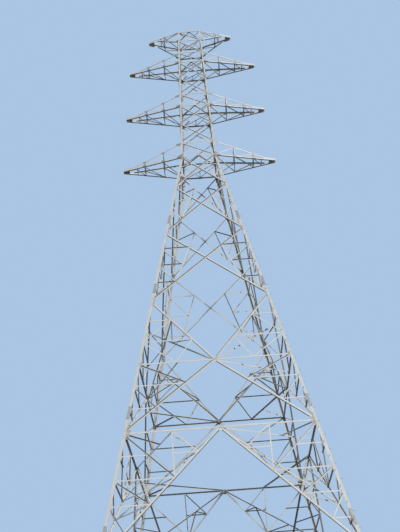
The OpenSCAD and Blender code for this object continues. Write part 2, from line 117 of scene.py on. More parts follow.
@dataclass(frozen=True)
class TowerSizes:
    """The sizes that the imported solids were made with."""

    base_w: float = 7.490
    waist_w: float = 1.285
    top_w: float = 0.975
    low_tie: float = 4.800
    main_tie: float = 8.010
    middle_tie: float = 10.135
    x3: float = 12.425
    x2: float = 15.380
    x1: float = 17.745
    waist: float = 19.500
    upper_levels: tuple[float, ...] = (0.0, 0.760, 2.860, 3.575, 5.645, 6.285, 7.125, 7.785)
    reaches: tuple[float, ...] = (2.875, 2.780, 2.655, 1.800)
    arm_heights: tuple[float, ...] = (0.760, 0.715, 0.640, 0.660)
    outer_post: float = 0.810
    peak_post: float = 0.680
    tip_w: float = 0.130
    tip_h: float = 0.110
    tip_plate_l: float = 0.390
    leg_b: float = 0.078
    leg_t: float = 0.008
    mast_b: float = 0.062
    mast_t: float = 0.006
    main_b: float = 0.046
    main_t: float = 0.004
    low_tie_b: float = 0.045
    main_tie_b: float = 0.046
    middle_tie_b: float = 0.040
    tie_t: float = 0.005
    web_b: float = 0.032
    web_t: float = 0.003
    brace_b: float = 0.037
    brace_t: float = 0.004
    girt_b: float = 0.042
    chord_b: float = 0.050
    chord_t: float = 0.004
    plate_t: float = 0.020
    anchor_spacing: float = 0.220
    plate_inset: float = 0.030
    rib_h: float = 0.110
    rib_l: float = 0.074
    rib_t: float = 0.008
    lug_t: float = 0.010
    lug_h: float = 0.062
    seat: float = 0.0002
    corner_room: float = 0.002

    @property
    def top(self) -> float:
        """Height of the upper body above the waist."""
        return self.upper_levels[-1]

    @property
    def low_slope(self) -> float:
        """Lean of a lower face for each unit of height."""
        return (self.base_w - self.waist_w) / 2 / self.waist

    @property
    def high_slope(self) -> float:
        """Lean of an upper face for each unit of height."""
        return (self.waist_w - self.top_w) / 2 / self.top

    def half(self, z: float) -> float:
        """Half the width of the body at a height.

        Args:
            z: height above the ground.

        Returns:
            The distance from the axis to the outer plane of a face.
        """
        if z <= self.waist:
            return self.base_w / 2 - self.low_slope * z
        return self.waist_w / 2 - self.high_slope * (z - self.waist)


SIZES = TowerSizes()
FACE_NAMES = ("front", "right", "back", "left")
CORNER_NAMES = ("front_right", "back_right", "back_left", "front_left")
ARM_NAMES = ("lower_crossarm", "middle_crossarm", "upper_crossarm", "earth_wire_arm")


@dataclass(frozen=True)
class FacePlane:
    """One of the four planes in which the braces of the lower or upper body lie."""

    k: int
    upper: bool = False

    @property
    def slope(self) -> float:
        """Lean of the face for each unit of height."""
        return SIZES.high_slope if self.upper else SIZES.low_slope

    @property
    def lift(self) -> float:
        """Height of the foot of this body above the ground."""
        return SIZES.waist if self.upper else 0.0

    @property
    def matrix(self) -> Matrix:
        """Frame of the plane: X sideways, Y up the slope, Z outwards, on the braces' outer side."""
        return (Matrix.Rotation(math.radians(90 * self.k), 4, "Z")
                @ Matrix.Translation((0, -SIZES.half(self.lift), self.lift))
                @ Matrix.Rotation(math.pi / 2 - math.atan(self.slope), 4, "X")
                @ Matrix.Translation((0, 0, -self.leg_out)))

    @property
    def stretch(self) -> float:
        """Length up the slope for each unit of height."""
        return math.hypot(1.0, self.slope)

    @property
    def leg_t(self) -> float:
        """Thickness of the legs in this plane."""
        return SIZES.mast_t if self.upper else SIZES.leg_t

    @property
    def leg_b(self) -> float:
        """Flange width of the legs in this plane."""
        return SIZES.mast_b if self.upper else SIZES.leg_b

    @property
    def leg_out(self) -> float:
        """How far the legs' outer side lies outside the braces' outer side."""
        return self.leg_t + SIZES.seat

    def on_leg(self, side: int, z: float, inward: float) -> Point:
        """A point on or near a leg.

        Args:
            side: -1 for the left leg and 1 for the right one, seen from outside.
            z: height above the foot of this body.
            inward: distance from the leg's outer corner.

        Returns:
            The sideways place and the height.
        """
        return (side * (SIZES.half(self.lift + z) - inward), z)

    def trim(self, leg: Point, other: Point, width: float) -> float:
        """How far from the leg's corner a brace starts, measured along it.

        Args:
            leg: the corner's point that the brace points at.
            other: the brace's other end.
            width: width of its flange.

        Returns:
            The distance.
        """
        way = (Vector(other) - Vector(leg)).normalized()
        clear = self.leg_out + width + SIZES.corner_room
        return (clear + width / 2 * abs(way.y)) / (abs(way.x) - self.slope * way.y)

    def world(self, p: Point, out: float = 0.0) -> Vector:
        """The same point as local() gives, in the object's own frame."""
        return self.matrix @ self.local(p, out)

    def local(self, p: Point, out: float = 0.0) -> Vector:
        """The point of the plane at a sideways place and a height.

        Args:
            p: sideways place and height above the foot of this body.
            out: distance outwards from the braces' outer side.

        Returns:
            The point in the plane's own frame.
        """
        return Vector((p[0], p[1] * self.stretch, out))


@dataclass(frozen=True)
class Member:
    """One brace of a face, between two points given as sideways place and height."""

    p: Point
    q: Point
    width: float
    thickness: float
    ends: tuple[End, End] = (End.LEG, End.LEG)

    def mirrored(self) -> "Member":
        """The brace on the other half of the face."""
        return Member((-self.p[0], self.p[1]), (-self.q[0], self.q[1]),
                      self.width, self.thickness, self.ends)


def between(p: Point, q: Point, share: float) -> Point:
    """The point at a share of the way from p to q."""
    return (p[0] + (q[0] - p[0]) * share, p[1] + (q[1] - p[1]) * share)


def flip(p: Point) -> Point:
    """The mirror image of a point of a face."""
    return (-p[0], p[1])


@dataclass
class FaceLayout:
    """The braces of one face and the points at which two of them cross."""

    members: list[Member] = field(default_factory=list)
    crossings: list[Point] = field(default_factory=list)

    def note_crossing(self, low: Point, high: Point) -> None:
        """Notes where two mirrored braces from leg to leg cross.

        Args:
            low: the lower end of one of them.
            high: the upper end of the other, on the same leg.
        """
        share = low[0] / (low[0] + high[0])
        self.crossings.append((0.0, low[1] + (high[1] - low[1]) * share))


@dataclass
class LowerFace(FaceLayout):
    """The braces of one lower face, as the solids have them."""

    def leg(self, z: float) -> Point:
        """The point of the left leg at a height."""
        return (-SIZES.half(z), z)

    def pair(self, p: Point, q: Point, width: float, thickness: float,
             ends: tuple[End, End]) -> None:
        """Adds a brace and its mirror image."""
        member = Member(p, q, width, thickness, ends)
        self.members += [member, member.mirrored()]

    def web(self, z: float, node: Point) -> None:
        """Adds a light brace from each leg to a point on a main brace."""
        self.pair(self.leg(z), node, SIZES.web_b, SIZES.web_t, (End.LEG, End.BRACE))

    def tie(self, z: float, width: float) -> None:
        """Adds a tie from leg to leg."""
        self.members.append(Member(self.leg(z), flip(self.leg(z)), width, SIZES.tie_t))

    def cross(self, low: float, high: float) -> None:
        """Adds two crossing braces from leg to leg."""
        self.pair(self.leg(low), flip(self.leg(high)), SIZES.main_b, SIZES.main_t,
                  (End.LEG, End.LEG))
        self.note_crossing(self.leg(low), self.leg(high))

    def x_webs(self, low: float, high: float, tall: bool) -> None:
        """Adds the light braces of a crossed panel.

        Args:
            low: height of its foot.
            high: height of its top.
            tall: whether it has five light braces on each leg in place of two.
        """
        step = (high - low) / 4
        high_node = between(self.leg(high), flip(self.leg(low)), 0.25)
        low_node = between(self.leg(low), flip(self.leg(high)), 0.25)
        middle = between(low_node, high_node, 0.5)
        self.pair(low_node, high_node, SIZES.web_b, SIZES.web_t, (End.BRACE, End.BRACE))
        if tall:
            for z, node in ((high_node[1], high_node), (high_node[1], middle),
                            (middle[1], middle), (middle[1], low_node),
                            (low_node[1], low_node)):
                self.web(z, node)
        else:
            self.web(high - 1.5 * step, high_node)
            self.web(high - 1.5 * step, low_node)

    def k_panels(self) -> None:
        """Adds the two panels over the main tie."""
        s = SIZES
        centre = (0.0, s.middle_tie)
        high_step = (s.x3 - s.middle_tie) / 3
        low_step = (s.middle_tie - s.main_tie) / 3
        quarter = (-s.half(s.middle_tie) / 2, s.middle_tie)
        high_node = between(self.leg(s.x3), centre, 1 / 3)
        inner = between(self.leg(s.x3), centre, 2 / 3)
        for z in (s.x3, s.main_tie):
            self.pair(self.leg(z), centre, s.main_b, s.main_t, (End.LEG, End.TIE))
        self.tie(s.middle_tie, s.middle_tie_b)
        self.tie(s.main_tie, s.main_tie_b)
        self.web(s.x3 - high_step, high_node)
        for node in (high_node, inner, quarter):
            self.web(s.middle_tie + high_step, node)
        self.pair(quarter, inner, s.web_b, s.web_t, (End.TIE, End.BRACE))
        for i in (1, 2):
            z = s.middle_tie - i * low_step
            node = between(centre, self.leg(s.main_tie), i / 3)
            self.web(z, node)
            self.web(z + low_step, node)

    def v_panel(self, high: float, low: float, bays: int) -> None:
        """Adds an inverted V under a tie and its light braces.

        Args:
            high: height of the tie.
            low: height of the V's feet.
            bays: number of bays along each arm of the V.
        """
        s = SIZES
        top, foot, corner = (0.0, high), self.leg(low), self.leg(high)
        quarter = (-s.half(high) / 2, high)
        kick, upper = between(top, foot, 2 / bays), between(top, foot, 1 / bays)
        self.pair(foot, top, s.main_b, s.main_t, (End.LEG, End.TIE))
        for node in (kick, upper):
            self.pair(quarter, node, s.web_b, s.web_t, (End.TIE, End.BRACE))
        share = (quarter[1] - upper[1]) / (quarter[1] - kick[1])
        self.pair(between(quarter, kick, share), upper, s.web_b, s.web_t,
                  (End.BRACE, End.BRACE))
        self.web(high - s.main_tie_b / 2, kick)
        self.web((corner[1] + kick[1]) / 2, between(corner, kick, 0.5))
        for i in range(2, bays):
            node = between(top, foot, i / bays)
            self.web(node[1], node)
            if i < bays - 1:
                self.web(node[1], between(top, foot, (i + 1) / bays))

    def build(self) -> "LowerFace":
        """Adds every brace of the face.

        Returns:
            The face itself.
        """
        s = SIZES
        for low, high in ((s.x1, s.waist), (s.x2, s.x1), (s.x3, s.x2)):
            self.cross(low, high)
            self.x_webs(low, high, low == s.x3)
        self.k_panels()
        self.v_panel(s.main_tie, s.low_tie, 5)
        self.tie(s.low_tie, s.low_tie_b)
        self.v_panel(s.low_tie, s.plate_t + s.rib_h, 6)
        return self


@dataclass
class UpperFace(FaceLayout):
    """The braces of one upper face, with heights above the waist."""

    def leg(self, h: float) -> Point:
        """The point of the left leg at a height above the waist."""
        return (-SIZES.half(SIZES.waist + h), h)

    def bar(self, p: Point, q: Point, width: float) -> None:
        """Adds a brace from leg to leg."""
        self.members.append(Member(p, q, width, SIZES.brace_t))

    def build(self) -> "UpperFace":
        """Adds every brace of the face.

        Returns:
            The face itself.
        """
        s = SIZES
        lv = s.upper_levels
        edge = s.girt_b / 2 + 0.002
        for h in (edge, *lv[1:-1], lv[-1] - edge):
            self.bar(self.leg(h), flip(self.leg(h)), s.girt_b)
        for low, high in zip(lv[::2], lv[1::2]):
            self.bar(self.leg(high), flip(self.leg(low)), s.brace_b)
        spans = [(lv[1], lv[2]), (lv[3], lv[4])]
        panels = [(a, (a + b) / 2) for a, b in spans] + [((a + b) / 2, b) for a, b in spans]
        for low, high in (*panels, (lv[5], lv[6])):
            self.bar(self.leg(low), flip(self.leg(high)), s.brace_b)
            self.bar(self.leg(high), flip(self.leg(low)), s.brace_b)
            self.note_crossing(self.leg(low), self.leg(high))
        return self


# Shader nodes


class Value:
    """A socket of a shader tree that takes part in Python arithmetic."""

    def __init__(self, tree: "ShaderTree", socket: bpy.types.NodeSocket) -> None:
        """Wraps a socket.

        Args:
            tree: the tree that the socket belongs to.
            socket: an output socket.
        """
        self.tree = tree
        self.socket = socket

    def _math(self, operation: str, a: "Value | float", b: "Value | float",
              clamp: bool = False) -> "Value":
        """Adds a Math node of two inputs."""
        return self.tree.node("ShaderNodeMath", {"operation": operation, "use_clamp": clamp},
                              {0: a, 1: b})

    def __add__(self, other: "Value | float") -> "Value":
        """Sum."""
        return self._math("ADD", self, other)

    __radd__ = __add__

    def __sub__(self, other: "Value | float") -> "Value":
        """Difference."""
        return self._math("SUBTRACT", self, other)

    def __rsub__(self, other: "Value | float") -> "Value":
        """Difference with the socket as the second term."""
        return self._math("SUBTRACT", other, self)

    def __mul__(self, other: "Value | float") -> "Value":
        """Product."""
        return self._math("MULTIPLY", self, other)

    __rmul__ = __mul__

    def clamped(self) -> "Value":
        """The value held between 0 and 1."""
        return self._math("ADD", self, 0.0, clamp=True)


class ShaderTree:
    """The node tree of a material or a world, with one method that adds any node."""

    def __init__(self, owner: bpy.types.Material | bpy.types.World) -> None:
        """Clears the tree and starts it afresh.

        Args:
            owner: the material or world to build in.
        """
        owner.use_nodes = True
        self.tree = owner.node_tree
        self.tree.nodes.clear()

    def node(self, kind: str, settings: dict[str, object] | None = None,
             inputs: dict[int | str, object] | None = None,
             output: int | str = 0) -> Value:
        """Adds a node.

        Args:
            kind: the node's type name.
            settings: attributes of the node, set first.
            inputs: a value or a link for each named or numbered socket.
            output: the output socket to return.

        Returns:
            The wrapped output socket, or the node's first input where it has no output.
        """
        made = self.tree.nodes.new(kind)
        for name, value in (settings or {}).items():
            setattr(made, name, value)
        for key, value in (inputs or {}).items():
            if isinstance(value, Value):
                self.tree.links.new(value.socket, made.inputs[key])
            else:
                made.inputs[key].default_value = value
        return Value(self, made.outputs[output] if made.outputs else made.inputs[0])

    def mix(self, factor: Value | float, a: object, b: object) -> Value:
        """Mixes two colours.

        Args:
            factor: how much of the second.
            a: the first colour, a link or four numbers.
            b: the second colour, a link or four numbers.

        Returns:
            The mixed colour.
        """
        return self.node("ShaderNodeMix", {"data_type": "RGBA", "clamp_factor": True},
                         {0: factor, 6: a, 7: b}, output=2)

    def noise(self, place: Value, scale: float, detail: float = 2.0,
              roughness: float = 0.5) -> Value:
        """Adds a noise texture.

        Args:
            place: where it is read.
            scale: its scale.
            detail: how many finer layers it has.
            roughness: how strong those are.

        Returns:
            Its value, about 0.5 on average.
        """
        return self.node("ShaderNodeTexNoise", inputs={
            "Vector": place, "Scale": scale, "Detail": detail, "Roughness": roughness},
            output="Fac")

    def shown_or_cast(self, cast: Value, shown: Value) -> Value:
        """Mixes what a surface throws on the object with what is seen of it.

        Args:
            cast: the shader for all other rays.
            shown: the shader for camera rays and for those by gloss or through glass.

        Returns:
            The mixed shader.
        """
        camera, glossy, through = (self.node("ShaderNodeLightPath", output=ray) for ray in
                                   ("Is Camera Ray", "Is Glossy Ray", "Is Transmission Ray"))
        return self.node("ShaderNodeMixShader",
                         inputs={0: camera + glossy + through, 1: cast, 2: shown},
                         output="Shader")


def rgba(colour: Sequence[float], gain: float = 1.0) -> tuple[float, float, float, float]:
    """A colour made lighter or darker, with full opacity."""
    return (*(min(1.0, c * gain) for c in colour), 1.0)


@dataclass(frozen=True)
class GalvanisedFinish:
    """Hot-dip galvanised steel after years outdoors."""

    name: str
    colour: Colour
    dark: Colour
    # colour of the run-off stains and speckles, also used for the painted shade under the bars
    stain_and_shade_colour: Colour = (0.20, 0.19, 0.165)
    stain_and_shade_amount: float = 0.35
    metallic: float = 0.10
    roughness: float = 0.55
    specular: float = 0.2
    spangle_scale: float = 130.0
    spangle_share: float = 0.22
    spangle_gain: float = 1.16
    spangle_rough: float = 0.16
    cloud_scale: float = 2.3
    cloud_share: float = 0.55
    cloud_rough: float = 0.12
    cloud_floor: float = 0.36
    cloud_gain: float = 2.6
    fine_scale: float = 38.0
    fine_share: float = 0.6
    run_floor: float = 0.56
    run_gain: float = 5.0
    run_scale: tuple[float, float, float] = (55.0, 55.0, 1.6)
    # strength of the painted shade on faces that point down
    underside_shade_gain: float = 1.6
    bump: float = 0.12
    bump_depth: float = 0.002
    bump_spangle: float = 0.3

    def material(self) -> bpy.types.Material:
        """Builds the material: spangle, cloudy patches, run-off streaks, speckled stains and
        painted shade on the undersides.

        Returns:
            The finished material.
        """
        material = bpy.data.materials.new(self.name)
        t = ShaderTree(material)
        place = t.node("ShaderNodeTexCoord", output="Object")
        spangle = t.node("ShaderNodeTexVoronoi", {"feature": "F1"},
                         {"Vector": place, "Scale": self.spangle_scale}, output="Color")
        grain = t.node("ShaderNodeSeparateColor", inputs={"Color": spangle}, output="Red")
        clouds = t.noise(place, self.cloud_scale, 5.0, 0.62)
        fine = t.noise(place, self.fine_scale, 3.0, 0.6)
        drawn = t.node("ShaderNodeMapping", {"vector_type": "POINT"},
                       {"Vector": place, "Scale": self.run_scale}, output="Vector")
        runs = t.noise(drawn, 1.0)
        up = t.node("ShaderNodeSeparateXYZ",
                    inputs={"Vector": t.node("ShaderNodeNewGeometry", output="Normal")},
                    output="Z")
        # painted shade: faces that point down are darkened towards the stain colour, as shadow
        # under the bars
        under = (up * -1.0).clamped()
        patch = ((clouds - self.cloud_floor) * self.cloud_gain).clamped()
        streak = ((runs - self.run_floor) * self.run_gain).clamped()
        speckle = (fine - 0.5) * self.fine_share
        stain_and_underside_shade = ((under * self.underside_shade_gain + speckle) * self.stain_and_shade_amount).clamped()
        base = t.mix(patch * self.cloud_share, rgba(self.colour), rgba(self.dark))
        base = t.mix(grain * self.spangle_share, base, rgba(self.colour, self.spangle_gain))
        base = t.mix(streak * self.stain_and_shade_amount, base, rgba(self.stain_and_shade_colour))
        # speckled stains plus the painted underside shade, in the stain colour
        base = t.mix(stain_and_underside_shade, base, rgba(self.stain_and_shade_colour))
        rough = self.roughness + (grain - 0.5) * self.spangle_rough + patch * self.cloud_rough
        bump = t.node("ShaderNodeBump", inputs={
            "Strength": self.bump, "Distance": self.bump_depth,
            "Height": fine * (1 - self.bump_spangle) + grain * self.bump_spangle},
            output="Normal")
        shader = t.node("ShaderNodeBsdfPrincipled", inputs={
            "Base Color": base, "Metallic": self.metallic, "Roughness": rough,
            "Specular IOR Level": self.specular, "Normal": bump}, output="BSDF")
        t.node("ShaderNodeOutputMaterial", inputs={"Surface": shader})
        return material


@dataclass(frozen=True)
class PlainStageFinish:
    """The pale floor around the object, which throws back less light than it shows."""

    name: str
    colour: Colour
    bounce: float = 0.10
    roughness: float = 0.9
    cloud_scale: float = 0.6
    cloud_share: float = 0.3
    cloud_gain: float = 0.96

    def material(self) -> bpy.types.Material:
        """Builds the floor's material.

        Returns:
            The finished material.
        """
        material = bpy.data.materials.new(self.name)
        t = ShaderTree(material)
        place = t.node("ShaderNodeTexCoord", output="Object")
        base = t.mix(t.noise(place, self.cloud_scale) * self.cloud_share, rgba(self.colour),
                     rgba(self.colour, self.cloud_gain))
        shown = t.node("ShaderNodeBsdfPrincipled",
                       inputs={"Base Color": base, "Roughness": self.roughness},
                       output="BSDF")
        cast = t.node("ShaderNodeBsdfDiffuse",
                      inputs={"Color": rgba(self.colour, self.bounce)}, output="BSDF")
        t.node("ShaderNodeOutputMaterial", inputs={"Surface": t.shown_or_cast(cast, shown)})
        return material


# Meshes


Shape = tuple[np.ndarray, list[tuple[int, ...]]]


def skin(rings: int, sides: int) -> list[tuple[int, ...]]:
    """Faces over a stack of rings of vertices, closed at both ends.

    Args:
        rings: number of rings.
        sides: number of vertices in each.

    Returns:
        The faces.
    """
    faces = [tuple(range(sides - 1, -1, -1))]
    for a in range(0, (rings - 1) * sides, sides):
        b = a + sides
        faces += [(a + i, a + (i + 1) % sides, b + (i + 1) % sides, b + i)
                  for i in range(sides)]
    last = (rings - 1) * sides
    return faces + [tuple(range(last, last + sides))]


def prism(outline: Sequence[Point], low: float, high: float) -> Shape:
    """A straight prism over an outline.

    Args:
        outline: the corners, counter-clockwise.
        low: height of its underside.
        high: height of its top.

    Returns:
        Its vertices and faces.
    """
    verts = [(x, y, z) for z in (low, high) for x, y in outline]
    return np.array(verts, float), skin(2, len(outline))


def lathe(profile: Sequence[Point], sides: int, turn: float = 0.0) -> Shape:
    """A solid of revolution about Z, closed at both ends.

    Args:
        profile: radius and height of each ring, from the bottom to the top.
        sides: number of sides.
        turn: angle of the first side, in radians.

    Returns:
        Its vertices and faces.
    """
    angles = [turn + 2 * math.pi * i / sides for i in range(sides)]
    verts = [(r * math.cos(a), r * math.sin(a), z) for r, z in profile for a in angles]
    return np.array(verts, float), skin(len(profile), sides)


def tube(points: Sequence[Vector], radius: float, sides: int) -> Shape:
    """A round bar that follows points.

    Args:
        points: the middle line.
        radius: radius of the bar.
        sides: number of sides.

    Returns:
        Its vertices and faces.
    """
    rings: list[np.ndarray] = []
    normal = Vector((1.0, 0.0, 0.0))
    for i, point in enumerate(points):
        way = (points[min(i + 1, len(points) - 1)] - points[max(i - 1, 0)]).normalized()
        side = (normal - way * normal.dot(way)).normalized()
        other = way.cross(side)
        rings.append(np.array([point + radius * (math.cos(a) * side + math.sin(a) * other)
                               for a in np.linspace(0, 2 * math.pi, sides, endpoint=False)]))
    return np.concatenate(rings), skin(len(points), sides)


def bar(outline: Sequence[Point], length: float) -> Shape:
    """A straight bar along X whose section lies in the YZ plane."""
    verts, faces = prism(outline, 0.0, length)
    return verts[:, [2, 0, 1]], faces


def angle_bar(length: float, width: float, thickness: float, edge: int = 1) -> Shape:
    """An angle bar along X: its plate lies in the XY plane and its other flange goes down.

    Args:
        length: its length.
        width: width of a flange.
        thickness: thickness of a flange.
        edge: the side, 1 or -1 along Y, on which the other flange is.

    Returns:
        Its vertices and faces.
    """
    b, t = width / 2, thickness
    outline = [(-b, 0.0), (-b, -t), (b - t, -t), (b - t, -width), (b, -width), (b, 0.0)]
    return bar([(edge * y, z) for y, z in outline][::edge], length)


def weld(length: float, size: float) -> Shape:
    """A weld bead along X in the corner between +Y and +Z, slightly hollow.

    Args:
        length: its length.
        size: how far it reaches up each side.

    Returns:
        Its vertices and faces.
    """
    hollow = 0.36 * size
    return bar([(0.0, 0.0), (size, 0.0), (hollow, hollow), (0.0, size)], length)


def placed(shape: Shape, place: Matrix) -> Shape:
    """A shape moved by a matrix, with its faces turned back where that mirrors it."""
    verts, faces = shape
    m = np.array(place)
    if np.linalg.det(m[:3, :3]) < 0:
        faces = [face[::-1] for face in faces]
    return verts @ m[:3, :3].T + m[:3, 3], faces


def joined(shapes: Iterable[Shape]) -> Shape:
    """Several shapes as one.

    Args:
        shapes: their vertices and faces.

    Returns:
        The vertices and faces of all of them.
    """
    verts: list[np.ndarray] = []
    faces: list[tuple[int, ...]] = []
    start = 0
    for v, f in shapes:
        verts.append(v)
        faces += [tuple(i + start for i in face) for face in f]
        start += len(v)
    return np.concatenate(verts), faces


def axes(origin: Vector, x: Vector, y: Vector, z: Vector) -> Matrix:
    """A frame from its origin and its three axes."""
    m = Matrix((x, y, z)).transposed().to_4x4()
    m.translation = origin
    return m


def frame_on(origin: Vector, out: Vector, up: Vector) -> Matrix:
    """A frame with its Z along out and its Y as near to up as it can be."""
    z = out.normalized()
    x = up.cross(z).normalized()
    return axes(origin, x, z.cross(x), z)


def bar_frame(a: Vector, b: Vector, out: Vector) -> Matrix:
    """A frame at a with its X towards b and its Z as near to out as it can be."""
    x = (b - a).normalized()
    z = (out - x * out.dot(x)).normalized()
    return axes(a, x, z.cross(x), z)


@dataclass(frozen=True)
class BoltSize:
    """A hexagon bolt with its washer and nut."""

    across: float
    head_h: float
    nut_h: float
    shank_r: float
    stand: float
    sink: float = 0.0006
    washer_share: float = 1.12
    washer_t_share: float = 0.16
    chamfer_share: float = 0.88
    head_edge: float = 0.8
    nut_edge: float = 0.85
    thread_edge: float = 0.7

    def shape(self, grip: float) -> Shape:
        """The bolt along Z: its head is over z = 0 and its nut under z = -grip.

        Args:
            grip: thickness of what it holds together.

        Returns:
            Its vertices and faces.
        """
        r = self.across / math.sqrt(3)
        flat, washer = self.chamfer_share * r, self.washer_share * r
        wash_t = self.washer_t_share * self.head_h
        nut_foot = -grip - self.nut_h
        return joined([
            lathe([(washer, -self.sink), (washer, wash_t)], 8),
            lathe([(r, wash_t / 2), (r, self.head_edge * self.head_h), (flat, self.head_h)], 6),
            lathe([(flat, nut_foot - wash_t), (r, -grip - self.nut_edge * self.nut_h),
                   (r, -grip - wash_t / 2)], 6),
            lathe([(washer, -grip - wash_t), (washer, -grip + self.sink)], 8),
            lathe([(0.8 * self.shank_r, nut_foot - self.stand),
                   (self.shank_r, nut_foot - self.thread_edge * self.stand),
                   (self.shank_r, nut_foot)], 6),
        ])


M12 = BoltSize(0.0095, 0.0038, 0.0050, 0.0030, 0.004)
M20 = BoltSize(0.0150, 0.0063, 0.0080, 0.0050, 0.006)
M24 = BoltSize(0.0180, 0.0075, 0.0095, 0.0060, 0.007)


@dataclass(frozen=True)
class PlateKind:
    """A joint plate: its corners and its bolts, counted from the joint's own point."""

    outline: tuple[Point, ...]
    bolts: tuple[Point, ...] = ()
    size: BoltSize = M20


@dataclass
class Piece:
    """Collects shapes into one mesh and hands it over as a piece of the object."""

    name: str
    finish: bpy.types.Material
    slot: Slot = Slot.FITTINGS
    shapes: list[Shape] = field(default_factory=list)

    def add(self, shape: Shape, place: Matrix) -> None:
        """Adds a shape at a place."""
        self.shapes.append(placed(shape, place))

    def bolt(self, size: BoltSize, place: Matrix, at: Vector, grip: float) -> None:
        """Adds a bolt whose head sits on the plane through a point, looking along its Z.

        Args:
            size: the bolt.
            place: frame of the plane.
            at: the point in that frame.
            grip: thickness of what it holds together.
        """
        self.add(size.shape(grip), place @ Matrix.Translation(at))

    def hand_over(self) -> None:
        """Makes the object, rides it on the body and reports it."""
        verts, faces = joined(self.shapes)
        mesh = bpy.data.meshes.new(self.name)
        mesh.from_pydata(verts.tolist(), [], faces)
        mesh.materials.append(self.finish)
        mesh.update()
        made = bpy.data.objects.new(self.name, mesh)
        bpy.context.scene.collection.objects.link(made)
        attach(made, BODY)
        LOG.info("%s: %d triangles", self.name, sum(len(face) - 2 for face in faces))


# Sub-assemblies


@dataclass
class Finishes:
    """Every material of the object."""

    legs: bpy.types.Material
    bracing: bpy.types.Material
    crossarms: bpy.types.Material
    feet: bpy.types.Material
    fittings: bpy.types.Material
    bolts: bpy.types.Material
    shackles: bpy.types.Material

    @classmethod
    def make(cls) -> "Finishes":
        """Builds the materials, in the order of the fields.

        Returns:
            The set of materials.
        """
        looks = (
            GalvanisedFinish("galvanised_legs", (0.59, 0.60, 0.59), (0.46, 0.47, 0.465)),
            GalvanisedFinish("galvanised_braces", (0.62, 0.63, 0.62), (0.49, 0.50, 0.49)),
            GalvanisedFinish("galvanised_crossarms", (0.66, 0.67, 0.66), (0.54, 0.545, 0.54)),
            GalvanisedFinish("galvanised_feet", (0.42, 0.42, 0.40), (0.32, 0.31, 0.285),
                             (0.18, 0.145, 0.10), 0.5, metallic=0.2, roughness=0.6),
            # the joint plates, splices and other fittings are painted darker than the bars: painted
            # shade at the joints
            GalvanisedFinish("galvanised_fittings_painted_shade", (0.36, 0.365, 0.36), (0.27, 0.275, 0.27),
                             metallic=0.2, roughness=0.52),
            GalvanisedFinish("galvanised_bolts", (0.44, 0.445, 0.44), (0.34, 0.345, 0.34),
                             metallic=0.25, roughness=0.48, spangle_scale=400.0, bump=0.06),
            GalvanisedFinish("galvanised_shackles", (0.44, 0.44, 0.43), (0.30, 0.29, 0.27),
                             (0.20, 0.15, 0.10), metallic=0.45, roughness=0.42,
                             spangle_scale=300.0, bump=0.08))
        return cls(*(look.material() for look in looks))

    def of_slot(self, slot: Slot) -> bpy.types.Material:
        """The material of a slot."""
        return getattr(self, slot.value)


class FrameDresser:
    """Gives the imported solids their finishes."""

    def __init__(self, frame: dict, finishes: Finishes) -> None:
        """Keeps the frame and the materials.

        Args:
            finishes: the materials.
        """
        self.nodes: dict[str, bpy.types.Object] = frame["nodes"]
        self.finishes = finishes

    def slot_of(self, node: str) -> Slot:
        """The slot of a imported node.

        Args:
            node: the node's name.

        Returns:
            Its slot.
        """
        if node.endswith("_leg"):
            return Slot.LEGS
        if node.endswith("_foot"):
            return Slot.FEET
        if node == "attachment_plates":
            return Slot.FITTINGS
        if node.endswith("crossarm") or node.endswith("_arm"):
            return Slot.CROSSARMS
        return Slot.BRACING

    def dress(self) -> None:
        """Puts the materials on every node."""
        for name, node in self.nodes.items():
            slot = self.slot_of(name)
            node.data.materials.clear()
            node.data.materials.append(self.finishes.of_slot(slot))
        LOG.info("dressed %d packed nodes", len(self.nodes))


@dataclass
class FaceBolts:
    """The bolts at the ends and the crossings of the braces of one body's four faces."""

    finishes: Finishes
    upper: bool
    main_from: float = 0.045
    tie_from: float = 0.034
    end_share: float = 0.55
    flange_inset: float = 0.016
    flange_edge: float = 0.006
    flattest: float = 0.25
    brace_inset: float = 0.006
    tie_share: float = 0.2
    behind: float = 0.004
    crossing_grip: float = 0.006

    def size(self, member: Member) -> BoltSize:
        """The bolts of a brace."""
        if member.width > self.main_from:
            return M24
        return M20 if member.width > self.tie_from or self.upper else M12

    def end_bolt(self, piece: Piece, plane: FacePlane, member: Member, end: int) -> None:
        """Adds the bolt at one end of a brace, where its flange reaches what carries it.

        Args:
            piece: the piece that takes it.
            plane: the face's plane.
            member: the brace.
            end: 0 for the end at p and 1 for the end at q.
        """
        size = self.size(member)
        here, there = (member.q, member.p) if end else (member.p, member.q)
        a, b = plane.local(here), plane.local(there)
        way = (b - a).normalized()
        if member.ends[end] is not End.LEG:
            inset = (self.brace_inset if member.ends[end] is End.BRACE
                     else self.tie_share * member.width)
            piece.bolt(size, plane.matrix, a + way * inset, member.thickness + self.behind)
            return
        start = plane.trim(here, there, member.width) + self.end_share * size.across
        reach = (plane.leg_b - self.flange_inset) / max(self.flattest, abs(way.x))
        at = a + way * max(start, reach)
        at.z = plane.leg_out
        if abs(at.x - a.x) <= plane.leg_b - self.flange_edge and here[0] * way.x < 0:
            piece.bolt(size, plane.matrix, at, plane.leg_out + member.thickness)

    def build(self) -> None:
        """Makes one piece of bolts for each face."""
        face = (UpperFace() if self.upper else LowerFace()).build()
        body = "upper" if self.upper else "lower"
        for k, side in enumerate(FACE_NAMES):
            piece = Piece(f"{side}_{body}_bolts", self.finishes.bolts)
            plane = FacePlane(k, self.upper)
            for member in face.members:
                for end in (0, 1):
                    self.end_bolt(piece, plane, member, end)
            for point in face.crossings:
                piece.bolt(M20, plane.matrix, plane.local(point), self.crossing_grip)
            piece.hand_over()


